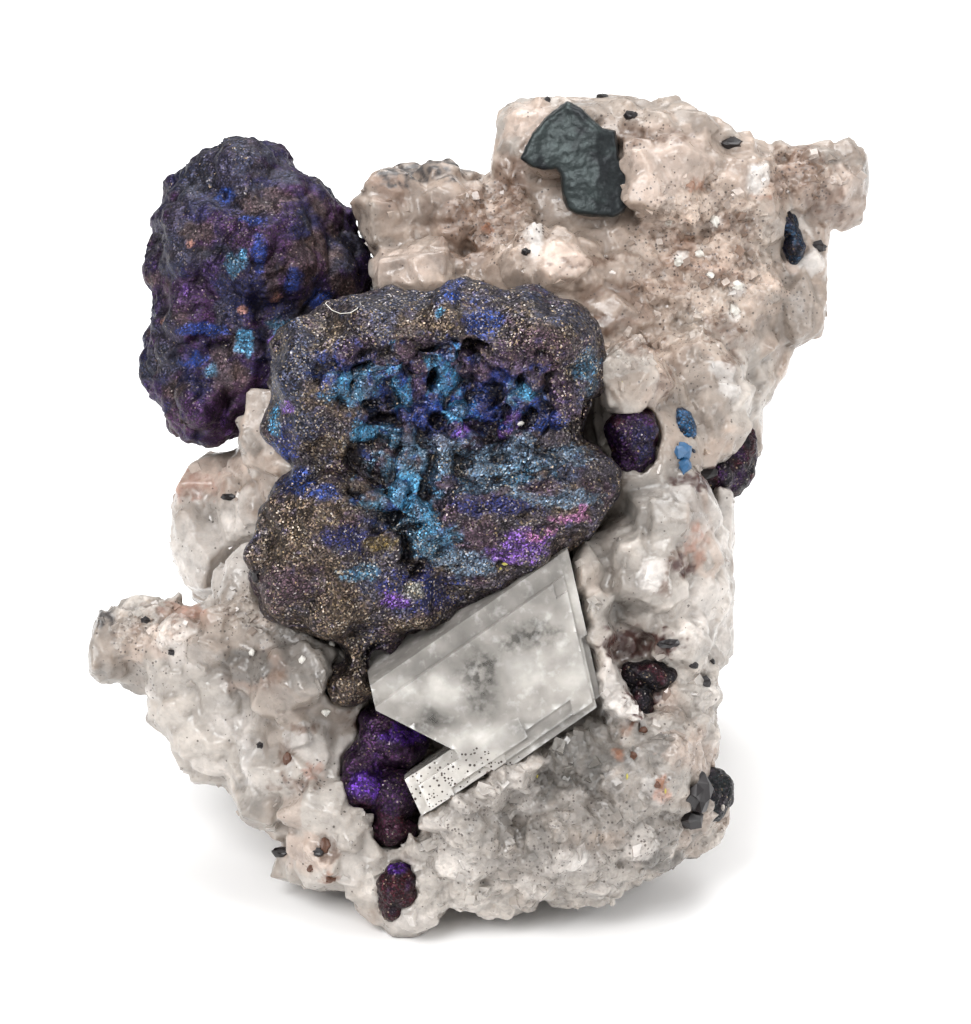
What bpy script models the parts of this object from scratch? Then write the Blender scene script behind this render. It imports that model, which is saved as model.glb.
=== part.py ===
"""Bornite specimen: two masses of tarnished bornite on a druse of calcite and quartz.

The display side leans back from a flat, cut foot. Places are written as they look from
that side, in millimetres: across to the right, up the picture plane, and near towards
the eye. The object itself is in metres, +Z up, with its display side facing -Y.
"""

import math
import random

import bmesh
import bpy
from mathutils import Matrix, Vector

MM = 0.001

# The display side is seen from in front and above, from this far away.
EYE_ELEVATION = math.radians(25.0)
EYE_DISTANCE = 350.0
RIGHT = Vector((1.0, 0.0, 0.0))
UPWARD = Vector((0.0, math.sin(EYE_ELEVATION), math.cos(EYE_ELEVATION)))
TOWARDS = Vector((0.0, -math.cos(EYE_ELEVATION), math.sin(EYE_ELEVATION)))

# The middle of the display side, from about the centre of the foot.
MIDDLE = Vector((0.6, -2.7, 21.4))

# Gap that keeps neighbouring minerals from sharing space, and the depth of the cut foot.
GAP = 0.35
FOOT_DEPTH = 30.0
WIDE = 200.0

# The calcite cleavage rhomb: its three edges lean this far from its short diagonal.
RHOMB_LEAN = math.radians(63.8)

# Every lump is (across, up, near, half width, half height, half depth).
CREST = [
    (3.6, 21.6, -9.0, 3.4, 3.5, 3.5),
    (6.5, 22.8, -9.0, 4.0, 2.7, 4.0),
    (10.2, 21.2, -7.5, 3.6, 3.9, 4.0),
    (14.5, 18.3, -9.0, 4.5, 4.7, 5.0),
    (7.0, 15.5, -9.0, 5.6, 5.8, 5.0),
    (12.5, 12.5, -8.5, 6.0, 6.0, 5.0),
    (17.4, 19.6, -10.5, 3.2, 2.6, 3.2),
    (21.3, 20.0, -10.5, 2.5, 2.3, 2.2),
    (20.0, 18.3, -10.3, 2.1, 2.0, 2.2),
    (19.0, 15.9, -9.5, 1.8, 1.9, 2.0),
    (18.4, 12.3, -9.0, 2.6, 2.5, 2.6),
    (15.8, 9.4, -8.5, 2.9, 3.1, 3.2),
    (14.8, 6.2, -8.0, 2.2, 3.0, 3.0),
    (14.5, 3.6, -8.0, 1.6, 1.9, 2.2),
]
SHOULDER = [
    (-5.0, 17.2, -8.0, 3.1, 3.7, 3.4),
    (-2.8, 18.0, -8.5, 3.2, 3.4, 3.2),
    (0.4, 16.4, -8.0, 3.0, 3.0, 3.2),
    (2.8, 17.2, -9.0, 2.6, 2.6, 3.0),
    (-3.6, 13.8, -4.5, 3.5, 2.5, 3.0),
    (3.3, 14.4, -4.5, 3.6, 2.5, 3.0),
    (6.2, 12.0, -5.0, 3.0, 3.2, 3.2),
]
RIGHT_FLANK = [
    (8.4, 7.2, 0.5, 2.8, 2.7, 3.0),
    (10.0, 2.5, 0.5, 3.2, 4.2, 4.0),
    (11.5, -0.7, 1.2, 2.5, 2.4, 3.0),
    (12.6, 6.5, -3.5, 3.3, 4.8, 3.6),
    (12.2, -3.5, -0.8, 3.0, 4.4, 4.0),
    (13.7, -0.6, -5.5, 1.5, 3.8, 3.0),
    (13.0, -5.2, -4.0, 1.7, 4.4, 3.4),
    (9.3, -3.5, 1.8, 3.2, 3.4, 4.0),
    (11.4, -9.2, 0.5, 2.9, 4.2, 4.0),
    (11.2, -14.0, 0.5, 2.7, 3.6, 4.0),
    (13.2, -17.6, 0.4, 1.7, 2.2, 3.0),
]
LOWER_EDGE = [
    (5.0, -15.0, 2.6, 4.8, 4.2, 5.0),
    (9.8, -15.6, 2.6, 3.8, 3.6, 5.0),
    (-1.0, -19.2, 3.2, 4.2, 4.0, 5.0),
    (4.3, -19.8, 3.2, 4.2, 3.7, 5.0),
    (8.8, -19.0, 1.8, 3.7, 3.1, 5.0),
    (-4.6, -22.4, 2.4, 2.9, 2.8, 4.0),
    (-4.9, -24.6, 2.4, 1.8, 1.9, 2.2),
    (6.2, -22.5, 2.8, 1.8, 1.7, 2.2),
    (0.6, -22.5, 2.8, 3.3, 2.3, 3.0),
    (-8.4, -19.0, 1.2, 3.5, 4.2, 4.0),
    (-9.9, -20.9, 0.2, 2.3, 2.4, 3.0),
    (-10.0, -15.0, 0.8, 3.8, 3.6, 4.0),
]
LEFT_WING = [
    (-10.5, -10.0, 1.6, 4.4, 4.4, 4.0),
    (-14.4, -8.4, 0.6, 3.9, 3.8, 3.6),
    (-18.2, -8.7, -0.6, 3.4, 3.3, 3.0),
    (-21.0, -7.9, -1.0, 2.6, 2.5, 2.4),
    (-22.6, -8.6, -1.0, 1.6, 1.4, 1.6),
    (-15.7, -12.6, -0.3, 3.7, 3.7, 3.2),
    (-12.0, -15.2, 0.2, 3.5, 3.8, 3.2),
    (-14.0, -4.8, 0.6, 2.0, 2.2, 2.6),
    (-12.6, -6.0, 0.9, 3.2, 3.2, 3.0),
]
REAR_LEFT_BLOCK = [
    (-15.7, 1.0, -11.0, 3.1, 3.0, 3.2),
    (-15.3, -2.4, -12.5, 3.6, 3.8, 3.6),
    (-12.5, 1.0, -8.5, 3.2, 4.0, 4.2),
    (-13.0, 5.8, -5.4, 1.7, 3.7, 2.6),
    (-11.5, 2.5, -6.0, 3.0, 4.0, 4.0),
]
CORE = [
    (-1.0, 6.0, -7.5, 9.6, 9.6, 6.5),
    (6.0, 2.0, -5.5, 7.6, 9.0, 6.5),
    (3.0, -8.0, -4.0, 10.5, 10.0, 8.0),
    (-5.6, -9.0, -4.5, 9.0, 8.0, 6.5),
    (-10.6, 10.0, -8.6, 4.6, 4.6, 3.6),
]
FOOT = [
    (1.0, -14.5, -9.0, 12.0, 7.2, 9.0),
    (2.0, -8.0, -15.0, 11.5, 9.0, 8.5),
    (-2.0, 0.0, -14.5, 11.0, 9.0, 6.5),
    (8.0, 8.5, -13.0, 8.0, 9.0, 6.0),
    (6.5, -6.0, -20.0, 8.0, 7.0, 6.0),
    (-5.0, -6.0, -18.0, 7.5, 7.0, 6.0),
]
MATRIX_LUMPS = (
    CREST + SHOULDER + RIGHT_FLANK + LOWER_EDGE + LEFT_WING + REAR_LEFT_BLOCK + CORE + FOOT
)

FRONT_BORNITE = [
    (-8.9, 7.8, 4.6, 4.5, 4.3, 5.2),
    (-5.6, 9.9, 4.6, 4.6, 3.6, 5.2),
    (-1.4, 10.4, 5.0, 4.0, 3.4, 5.2),
    (2.8, 9.8, 5.0, 4.0, 3.6, 5.2),
    (4.4, 7.6, 4.6, 2.8, 4.3, 4.8),
    (-9.0, 5.2, 4.4, 4.3, 3.0, 4.6),
    (-3.5, 5.0, 3.6, 5.0, 4.5, 5.0),
    (2.5, 4.8, 3.4, 4.2, 4.0, 5.0),
    (4.4, 1.3, 5.0, 3.5, 2.8, 4.6),
    (0.0, -0.3, 4.8, 5.0, 3.2, 4.8),
    (-5.0, 0.0, 4.4, 5.0, 3.5, 4.8),
    (-9.6, -1.4, 5.2, 4.2, 4.3, 4.6),
    (-11.0, -3.7, 5.0, 3.4, 2.9, 4.2),
    (-8.5, -5.0, 5.3, 3.2, 2.9, 4.0),
    (-4.5, -3.4, 4.6, 4.0, 3.2, 4.4),
    (-1.2, -3.6, 4.8, 3.2, 1.8, 3.6),
    (2.4, -1.6, 5.0, 3.0, 1.9, 3.8),
    (-4.0, -6.0, 5.4, 2.2, 1.4, 2.6),
    (-5.9, -7.0, 5.6, 1.5, 1.3, 2.2),
    (-7.4, -8.3, 5.6, 1.2, 1.4, 1.6),
    (-7.9, -10.4, 5.4, 1.6, 1.6, 1.8),
]
# Holes in the crumbled middle of the front mass, and the furrow under its brow.
FRONT_PITS = [
    (-7.2, 8.5, 9.8, 0.7, 0.6, 1.6),
    (-6.0, 6.3, 9.0, 1.1, 0.8, 2.2),
    (-3.0, 5.3, 8.6, 0.9, 0.7, 1.6),
    (0.3, 7.2, 8.6, 0.5, 1.2, 1.6),
    (2.2, 5.2, 8.4, 1.6, 0.5, 1.8),
    (5.8, 8.0, 9.0, 0.9, 1.2, 1.2),
    (-4.6, -1.9, 9.4, 0.5, 1.5, 1.8),
    (-2.0, -2.2, 9.4, 0.5, 0.9, 1.2),
    (5.2, 4.0, 9.0, 1.6, 0.5, 1.6),
]
REAR_BORNITE = [
    (-13.4, 15.4, -7.5, 5.3, 5.4, 6.0),
    (-14.2, 19.2, -8.0, 3.1, 3.6, 4.6),
    (-17.3, 16.4, -8.0, 2.9, 3.6, 4.6),
    (-17.4, 10.5, -7.5, 3.1, 4.2, 4.8),
    (-19.2, 8.5, -7.5, 1.6, 1.9, 3.0),
    (-16.4, 6.8, -7.0, 3.2, 2.7, 4.2),
    (-13.4, 9.5, -7.2, 4.4, 4.6, 5.0),
    (-9.6, 14.0, -8.0, 3.1, 3.6, 4.6),
    (-10.9, 17.0, -8.0, 3.1, 2.8, 4.2),
    (-18.0, 19.1, -8.0, 1.2, 1.4, 2.2),
    (-16.2, 20.6, -8.0, 1.2, 1.2, 2.2),
    (-19.5, 14.4, -8.0, 1.0, 1.3, 2.2),
]
CHALCOCITE = [
    (5.0, 22.1, -5.4, 2.3, 2.1, 2.4),
    (4.0, 21.1, -5.4, 1.7, 1.4, 1.9),
    (6.8, 20.0, -5.0, 1.9, 2.1, 2.2),
    (6.6, 18.7, -4.8, 1.9, 1.4, 2.0),
    (7.8, 19.6, -5.0, 1.4, 1.6, 1.8),
]
LOWER_CLUSTER = [
    (-6.2, -12.6, 3.4, 1.3, 1.0, 1.5),
    (-5.6, -13.8, 3.8, 2.0, 1.4, 1.8),
    (-7.4, -15.1, 3.8, 1.0, 1.1, 1.4),
    (-7.3, -16.6, 4.0, 1.4, 1.3, 1.6),
    (-5.4, -17.0, 4.2, 1.2, 1.3, 1.6),
    (-5.7, -18.2, 4.2, 0.8, 0.8, 1.2),
    (-5.4, -19.2, 4.2, 1.3, 0.8, 1.4),
]
GRAINS = {
    "bornite_grain_oval": [
        (8.8, 4.8, 3.4, 1.5, 1.4, 1.5),
        (8.8, 3.8, 3.3, 1.3, 1.5, 1.4),
    ],
    "bornite_grain_pair": [
        (11.6, 4.9, 1.0, 0.7, 1.0, 1.3),
        (11.8, 3.3, 1.2, 0.7, 1.0, 1.3),
    ],
    "bornite_grain_flank": [
        (14.6, 3.4, -5.2, 1.4, 2.1, 1.8),
        (13.2, 2.2, -3.8, 1.6, 1.0, 1.6),
    ],
    "bornite_grain_foot": [
        (-5.3, -22.4, 5.4, 1.1, 1.2, 1.3),
        (-5.6, -23.7, 4.6, 0.7, 0.9, 1.0),
    ],
    "bornite_grain_corner": [
        (13.0, -17.2, 2.4, 1.3, 1.3, 1.4),
        (13.6, -16.8, 2.0, 1.0, 1.0, 1.2),
    ],
    "bornite_grain_vein": [
        (9.6, -9.8, 4.0, 1.6, 0.7, 1.2),
        (9.2, -11.6, 3.8, 0.8, 1.6, 1.2),
    ],
    "bornite_grain_crest": [
        (18.0, 17.2, -7.4, 0.6, 1.0, 1.0),
        (18.5, 16.0, -7.2, 0.7, 1.0, 1.0),
    ],
}

# The clear calcite: the middle of each block and its three edges, seen from the front.
CALCITE_BLOCKS = [
    ((-0.2, -10.0, 4.6), (11.6, 8.0, -1.2), (1.8, -8.0, 1.2), (-0.8, 3.0, -7.4)),
    ((-1.6, -14.9, 4.0), (6.6, 4.4, -0.6), (1.5, -3.4, 0.6), (-0.6, 1.4, -5.0)),
]

# The lower left corner of the larger block is broken away along this line.
BROKEN_CORNER = ((-6.4, -11.8, 4.0), (1.5, -15.8, 4.0))

# Single calcite crystals that can be told apart: place, edge length, and turn in degrees.
NAMED_CRYSTALS = [
    ((10.6, 20.0, -4.6), 4.4, (20, 35, 10)),
    ((17.0, 19.2, -7.6), 2.0, (60, 10, 35)),
    ((8.6, 7.2, 2.8), 3.2, (15, 70, 20)),
    ((11.4, -0.6, 3.6), 2.8, (50, 20, 60)),
    ((-3.6, 14.0, -2.2), 3.4, (10, 15, 80)),
    ((3.6, 14.6, -2.4), 3.4, (75, 5, 30)),
    ((-5.2, 17.8, -6.0), 3.6, (30, 60, 15)),
    ((-2.0, 18.0, -6.4), 3.6, (45, 15, 75)),
    ((13.6, -0.4, -3.0), 2.2, (5, 15, 10)),
    ((13.4, -5.0, -1.6), 2.4, (10, 5, 30)),
    ((9.4, -3.8, 5.0), 2.6, (35, 50, 5)),
    ((11.6, -7.8, 3.8), 2.6, (65, 40, 20)),
    ((11.8, -12.2, 3.6), 2.2, (25, 15, 55)),
    ((4.4, -14.6, 6.4), 2.8, (80, 25, 10)),
    ((8.8, -16.2, 6.2), 2.4, (40, 10, 35)),
    ((-1.0, -19.0, 7.2), 3.0, (15, 55, 25)),
    ((4.6, -19.6, 7.0), 3.0, (55, 35, 70)),
    ((8.4, -19.8, 5.4), 2.4, (5, 65, 40)),
    ((-8.0, -18.4, 4.4), 2.4, (30, 5, 65)),
    ((-11.0, -15.2, 3.2), 2.6, (70, 50, 10)),
    ((-12.2, -11.4, 3.8), 2.6, (20, 30, 45)),
    ((-15.8, -7.2, 2.8), 2.4, (50, 60, 30)),
    ((-18.6, -7.8, 1.6), 2.2, (10, 40, 70)),
    ((-15.6, -1.8, -9.8), 4.2, (35, 20, 15)),
    ((-13.2, 4.6, -3.6), 2.6, (5, 20, 5)),
]
SCATTERED_CRYSTALS = 85
SCATTERED_EDGES = (1.5, 2.9)
CRYSTAL_SEED = 11

# How deep the scattered crystals sit, in edge lengths: more where they would stand out
# from the outline of the display side.
SUNK_AT_OUTLINE = 0.58
SUNK_FACING = 0.2

# Remeshing sizes and the share of faces that is kept, for each kind of lumpy mineral.
MATRIX_GRAIN = (0.75, 0.12)
BORNITE_GRAIN = (0.5, 0.105)
SMALL_GRAIN = (0.28, 0.1)

# The share of the matrix's faces that is kept once its crystals have joined it.
MATRIX_KEPT = 0.335


def seen(across, up, near):
    """The point that looks to be there from the display side, in metres."""
    shrink = 1.0 - near / EYE_DISTANCE
    offset = RIGHT * across * shrink + UPWARD * up * shrink + TOWARDS * near
    return (MIDDLE + offset) * MM


def seen_axes():
    """Turns a shape made with its sides along across, up and near into the object's frame."""
    return Matrix((RIGHT, UPWARD, TOWARDS)).transposed().to_4x4()


def clear_scene():
    for old in list(bpy.data.objects):
        bpy.data.objects.remove(old)


def new_collection(name):
    made = bpy.data.collections.new(name)
    bpy.context.scene.collection.children.link(made)
    return made


def new_material(name, colour, roughness, metallic, transmission=0.0):
    material = bpy.data.materials.new(name)
    material.use_nodes = True
    shader = material.node_tree.nodes["Principled BSDF"]
    shader.inputs["Base Color"].default_value = (*colour, 1.0)
    shader.inputs["Roughness"].default_value = roughness
    shader.inputs["Metallic"].default_value = metallic
    shader.inputs["Transmission Weight"].default_value = transmission
    return material


def new_object(name, mesh, collection, material=None):
    made = bpy.data.objects.new(name, mesh)
    collection.objects.link(made)
    if material:
        mesh.materials.clear()
        mesh.materials.append(material)
    return made


def as_helper(obj):
    """Keeps a cutter or a shape to join out of the finished object."""
    obj.hide_render = True
    obj.display_type = "WIRE"
    return obj


def mesh_of(shape, name):
    mesh = bpy.data.meshes.new(name)
    shape.to_mesh(mesh)
    shape.free()
    return mesh


def lumps_mesh(name, lumps):
    """One mesh of overlapping ellipsoids, which the remeshing joins."""
    shape = bmesh.new()
    for across, up, near, wide, high, deep in lumps:
        size = Matrix.Diagonal((wide * MM, high * MM, deep * MM, 1.0))
        place = Matrix.Translation(seen(across, up, near)) @ seen_axes() @ size
        bmesh.ops.create_icosphere(shape, subdivisions=3, radius=1.0, matrix=place)
    return mesh_of(shape, name)


def rhomb_matrix(edge):
    """Turns the unit cube into a calcite cleavage rhomb of that edge length."""
    edges = []
    for third in range(3):
        turn = third * math.tau / 3.0
        around = Vector((math.cos(turn), math.sin(turn), 0.0)) * math.sin(RHOMB_LEAN)
        edges.append((around + Vector((0.0, 0.0, math.cos(RHOMB_LEAN)))) * edge)
    return Matrix(edges).transposed().to_4x4()


def turned(degrees):
    """A rotation from three angles in degrees, about the object's X, Y and Z."""
    x, y, z = (math.radians(angle) for angle in degrees)
    return (
        Matrix.Rotation(z, 4, "Z") @ Matrix.Rotation(y, 4, "Y") @ Matrix.Rotation(x, 4, "X")
    )


def settle(obj, name):
    """Replaces the object's mesh by what its modifiers make of it."""
    bpy.context.view_layer.update()
    graph = bpy.context.evaluated_depsgraph_get()
    done = bpy.data.meshes.new_from_object(obj.evaluated_get(graph))
    done.name = name
    obj.modifiers.clear()
    obj.data = done
    return obj


def add_rough_surface(obj, name, size, depth):
    """Pushes the surface in and out by cloudy noise of that size and depth, in millimetres."""
    texture = bpy.data.textures.new(name, "CLOUDS")
    texture.noise_scale = size * MM
    texture.noise_depth = 2
    displace = obj.modifiers.new(name, "DISPLACE")
    displace.texture = texture
    displace.texture_coords = "LOCAL"
    displace.strength = depth * MM
    displace.mid_level = 0.5


def join_lumps(obj, voxel):
    """Makes one closed skin of overlapping ellipsoids."""
    remesh = obj.modifiers.new("one body", "REMESH")
    remesh.mode = "VOXEL"
    remesh.voxel_size = voxel * MM


def keep_faces(obj, share):
    fewer = obj.modifiers.new("fewer faces", "DECIMATE")
    fewer.ratio = share


def lumpy_solid(name, lumps, collection, material, grain, roughness, pits=None):
    """Joins the lumps in one closed body with a rough skin and few faces."""
    voxel, kept = grain
    obj = new_object(name, lumps_mesh(name, lumps), collection, material)
    join_lumps(obj, voxel)
    if pits:
        boolean(obj, "DIFFERENCE", other=pits)
        join_lumps(obj, voxel)
    for number, (size, depth) in enumerate(roughness):
        add_rough_surface(obj, f"{name} skin {number}", size, depth)
    keep_faces(obj, kept)
    settle(obj, name)
    keep_largest_body(obj)
    obj.data.materials.clear()
    obj.data.materials.append(material)
    return obj


def keep_largest_body(obj):
    """Deletes crumbs that a Boolean or a remesh has left apart from the main body."""
    shape = bmesh.new()
    shape.from_mesh(obj.data)
    bmesh.ops.remove_doubles(shape, verts=shape.verts, dist=0.002 * MM)
    waiting = set(shape.verts)
    bodies = []
    while waiting:
        start = waiting.pop()
        body, edge = {start}, [start]
        while edge:
            vertex = edge.pop()
            for link in vertex.link_edges:
                other = link.other_vert(vertex)
                if other in waiting:
                    waiting.discard(other)
                    body.add(other)
                    edge.append(other)
        bodies.append(body)
    largest = max(bodies, key=len)
    crumbs = [vertex for vertex in shape.verts if vertex not in largest]
    bmesh.ops.delete(shape, geom=crumbs, context="VERTS")
    shape.to_mesh(obj.data)
    shape.free()


def crystal(name, place, edge, turn, collection):
    """One calcite rhomb, as a helper that is joined to the matrix."""
    shape = bmesh.new()
    bmesh.ops.create_cube(shape, size=1.0, matrix=rhomb_matrix(edge * MM))
    bmesh.ops.transform(shape, matrix=Matrix.Translation(place) @ turn, verts=shape.verts)
    return as_helper(new_object(name, mesh_of(shape, name), collection))


def grow_crystals(matrix, collection):
    """Sets the named crystals in their places and scatters smaller ones over the druse."""
    for number, (place, edge, degrees) in enumerate(NAMED_CRYSTALS):
        crystal(f"crystal {number}", seen(*place), edge, turned(degrees), collection)
    dice = random.Random(CRYSTAL_SEED)
    faces = [face for face in matrix.data.polygons if face.center.z > 5.0 * MM]
    weights = [face.area for face in faces]
    for number, face in enumerate(dice.choices(faces, weights, k=SCATTERED_CRYSTALS)):
        edge = dice.uniform(*SCATTERED_EDGES)
        turn = turned([dice.uniform(0.0, 90.0) for _ in range(3)])
        facing = abs(face.normal.dot(TOWARDS))
        sunk = SUNK_AT_OUTLINE + (SUNK_FACING - SUNK_AT_OUTLINE) * facing
        place = face.center - face.normal * edge * sunk * MM
        crystal(f"scattered crystal {number}", place, edge, turn, collection)


def calcite_block(name, block, collection, material=None, gap=0.0):
    """A block of clear calcite between three leaning edges, or the hollow that clears it."""
    middle, *edges = block
    edges = [Vector(edge) for edge in edges]
    volume = abs(edges[0].dot(edges[1].cross(edges[2])))
    for this, (first, second) in enumerate(((1, 2), (2, 0), (0, 1))):
        thickness = volume / edges[first].cross(edges[second]).length
        edges[this] = edges[this] * (1.0 + 2.0 * gap / thickness)
    shape = bmesh.new()
    lean = Matrix([edge * MM for edge in edges]).transposed().to_4x4()
    bmesh.ops.create_cube(shape, size=1.0, matrix=seen_axes() @ lean)
    bmesh.ops.translate(shape, vec=seen(*middle), verts=shape.verts)
    bmesh.ops.recalc_face_normals(shape, faces=shape.faces)
    return new_object(name, mesh_of(shape, name), collection, material)


def broken_corner(collection):
    """A cutter that takes the lower left corner off the larger block of calcite."""
    start, end = (seen(*point) for point in BROKEN_CORNER)
    along = (end - start).normalized()
    outward = along.cross(TOWARDS).normalized()
    axes = Matrix((along, outward, TOWARDS)).transposed().to_4x4()
    shape = bmesh.new()
    place = Matrix.Translation(start + outward * FOOT_DEPTH * 0.5 * MM) @ axes
    bmesh.ops.create_cube(shape, size=FOOT_DEPTH * MM, matrix=place)
    bmesh.ops.recalc_face_normals(shape, faces=shape.faces)
    return as_helper(new_object("corner cutter", mesh_of(shape, "corner cutter"), collection))


def boolean(obj, operation, other=None, collection=None):
    """EXACT leaves open edges where this many rough bodies cross, so MANIFOLD joins them."""
    modifier = obj.modifiers.new(operation.lower(), "BOOLEAN")
    modifier.operation = operation
    modifier.solver = "MANIFOLD"
    if collection:
        modifier.operand_type = "COLLECTION"
        modifier.collection = collection
    else:
        modifier.object = other
    return modifier


def pocket_for(obj, collection):
    """A cutter a little larger than a piece, for the hollow in which the piece sits."""
    mesh = obj.data.copy()
    cutter = new_object(f"pocket for {obj.name}", mesh, collection)
    swell = cutter.modifiers.new("gap", "DISPLACE")
    swell.strength = GAP * MM
    swell.mid_level = 0.0
    settle(cutter, cutter.name)
    return as_helper(cutter)


def floor_cutter(collection):
    """The saw's side of the plane of the foot."""
    shape = bmesh.new()
    size = Matrix.Diagonal((WIDE * MM, WIDE * MM, FOOT_DEPTH * MM, 1.0))
    place = Matrix.Translation((0.0, 0.0, -0.5 * FOOT_DEPTH * MM))
    bmesh.ops.create_cube(shape, size=1.0, matrix=place @ size)
    return as_helper(new_object("foot cutter", mesh_of(shape, "foot cutter"), collection))


def centre_over_origin(pieces):
    """Moves the pieces together, so that the middle of the whole stands over the origin."""
    places = [vertex.co for piece in pieces for vertex in piece.data.vertices]
    shift = Vector((0.0, 0.0, 0.0))
    for axis in (0, 1):
        along = [place[axis] for place in places]
        shift[axis] = -0.5 * (min(along) + max(along))
    for piece in pieces:
        piece.data.transform(Matrix.Translation(shift))


def build():
    clear_scene()
    parts = new_collection("bornite specimen")
    growth = new_collection("crystals to join")
    cutters = new_collection("cutters")

    druse = new_material("calcite and quartz druse", (0.62, 0.55, 0.48), 0.45, 0.0)
    clear = new_material("clear calcite", (0.78, 0.78, 0.76), 0.2, 0.0, transmission=0.8)
    bornite = new_material("tarnished bornite", (0.07, 0.07, 0.11), 0.4, 0.85)
    purple = new_material("purple bornite", (0.06, 0.03, 0.10), 0.4, 0.85)
    dark = new_material("dark chalcocite", (0.03, 0.04, 0.045), 0.5, 0.7)

    pits = as_helper(new_object("pits", lumps_mesh("pits", FRONT_PITS), cutters))
    join_lumps(pits, SMALL_GRAIN[0])
    settle(pits, "pits")
    pieces = [
        lumpy_solid(
            "bornite_mass_front", FRONT_BORNITE, parts, bornite, BORNITE_GRAIN,
            [(2.2, 1.3), (0.9, 0.5)], pits,
        ),
        lumpy_solid(
            "bornite_mass_rear", REAR_BORNITE, parts, purple, BORNITE_GRAIN,
            [(2.6, 1.6), (1.1, 0.6)],
        ),
        lumpy_solid(
            "chalcocite_patch", CHALCOCITE, parts, dark, SMALL_GRAIN, [(1.4, 0.5)]
        ),
        lumpy_solid(
            "bornite_cluster_lower", LOWER_CLUSTER, parts, purple, SMALL_GRAIN, [(0.9, 0.35)]
        ),
    ]
    for name, lumps in GRAINS.items():
        pieces.append(lumpy_solid(name, lumps, parts, purple, SMALL_GRAIN, [(0.8, 0.25)]))

    calcite, step = (
        calcite_block(name, block, parts, clear)
        for name, block in zip(("calcite_crystal", "calcite step"), CALCITE_BLOCKS)
    )
    boolean(calcite, "DIFFERENCE", other=broken_corner(cutters))
    boolean(calcite, "UNION", other=step)
    settle(calcite, "calcite_crystal")
    bpy.data.objects.remove(step)

    pockets = new_collection("pockets")
    for piece in pieces:
        pocket_for(piece, pockets)
    boolean(calcite, "DIFFERENCE", collection=pockets)
    settle(calcite, "calcite_crystal")
    keep_largest_body(calcite)
    for number, block in enumerate(CALCITE_BLOCKS):
        as_helper(calcite_block(f"pocket for calcite {number}", block, pockets, gap=GAP))

    matrix = lumpy_solid(
        "calcite_quartz_matrix", MATRIX_LUMPS, parts, druse, MATRIX_GRAIN,
        [(3.2, 1.6), (1.3, 0.7)],
    )
    grow_crystals(matrix, growth)
    boolean(matrix, "UNION", collection=growth)
    keep_faces(matrix, MATRIX_KEPT)
    boolean(matrix, "DIFFERENCE", collection=pockets)
    boolean(matrix, "DIFFERENCE", other=floor_cutter(cutters))
    settle(matrix, "calcite_quartz_matrix")
    keep_largest_body(matrix)
    centre_over_origin(parts.objects)


build()
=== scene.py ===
# %% [markdown]
# # Dressing a bornite specimen
#
# Bornite is a copper ore whose fresh brown faces tarnish to blue, purple and gold. This
# specimen has two rounded masses of it, on a pale crust of calcite and quartz crystals,
# with one clear block of calcite in front. The solids give the shapes at their real size.
# This notebook gives them a fine skin, paints the tarnish, grows the small crystals, and
# lights them as a mineral photographer would.
#
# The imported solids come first, because every piece is placed by them.

import math
from itertools import combinations

import bmesh
import bpy
import numpy as np
from mathutils import Euler, Matrix, Vector, kdtree, noise
from mathutils.bvhtree import BVHTree


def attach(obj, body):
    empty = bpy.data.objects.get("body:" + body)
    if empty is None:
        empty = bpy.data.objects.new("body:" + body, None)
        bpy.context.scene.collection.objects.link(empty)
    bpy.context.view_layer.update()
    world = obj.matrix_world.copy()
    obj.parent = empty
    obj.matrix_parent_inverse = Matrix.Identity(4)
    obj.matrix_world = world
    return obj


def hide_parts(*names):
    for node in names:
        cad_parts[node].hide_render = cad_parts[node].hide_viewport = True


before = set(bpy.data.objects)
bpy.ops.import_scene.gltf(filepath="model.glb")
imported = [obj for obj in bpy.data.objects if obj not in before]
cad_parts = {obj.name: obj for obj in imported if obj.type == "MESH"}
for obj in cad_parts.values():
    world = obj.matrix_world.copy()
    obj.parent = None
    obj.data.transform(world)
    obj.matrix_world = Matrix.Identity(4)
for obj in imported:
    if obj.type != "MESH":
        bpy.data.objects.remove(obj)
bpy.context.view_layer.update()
print("solids:", ", ".join(sorted(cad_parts)))

# %% [markdown]
# ## Places as the eye sees them
#
# A specimen has a display side. Its features are easiest to place as they look from there,
# so a place is written as three numbers in millimetres: across to the right, up the
# picture, and near towards the eye. Two functions turn those into the frame's own
# coordinates and back. Everything below counts in millimetres and is scaled at the end.

# %% The eye
MM = 0.001
EYE_ELEVATION = math.radians(25.0)
EYE_DISTANCE = 350.0
MIDDLE = np.array([0.15, -2.668, 21.4])
RIGHT = np.array([1.0, 0.0, 0.0])
UPWARD = np.array([0.0, math.sin(EYE_ELEVATION), math.cos(EYE_ELEVATION)])
TOWARDS = np.array([0.0, -math.cos(EYE_ELEVATION), math.sin(EYE_ELEVATION)])
EYE = MIDDLE + TOWARDS * EYE_DISTANCE
EYE_TURN = np.column_stack((RIGHT, UPWARD, TOWARDS))
EYE_AXES = Matrix(EYE_TURN.tolist()).to_4x4()


def seen(across, up, near):
    """The point, in millimetres, that looks to be there from the display side."""
    shrink = 1.0 - near / EYE_DISTANCE
    return MIDDLE + (RIGHT * across + UPWARD * up) * shrink + TOWARDS * near


def as_seen(places):
    """How far across, up and near each place looks to be."""
    offset = places - MIDDLE
    near = offset @ TOWARDS
    shrink = 1.0 - near / EYE_DISTANCE
    return (offset @ RIGHT) / shrink, (offset @ UPWARD) / shrink, near


print("the eye is at", EYE.round(1), "mm")

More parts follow.
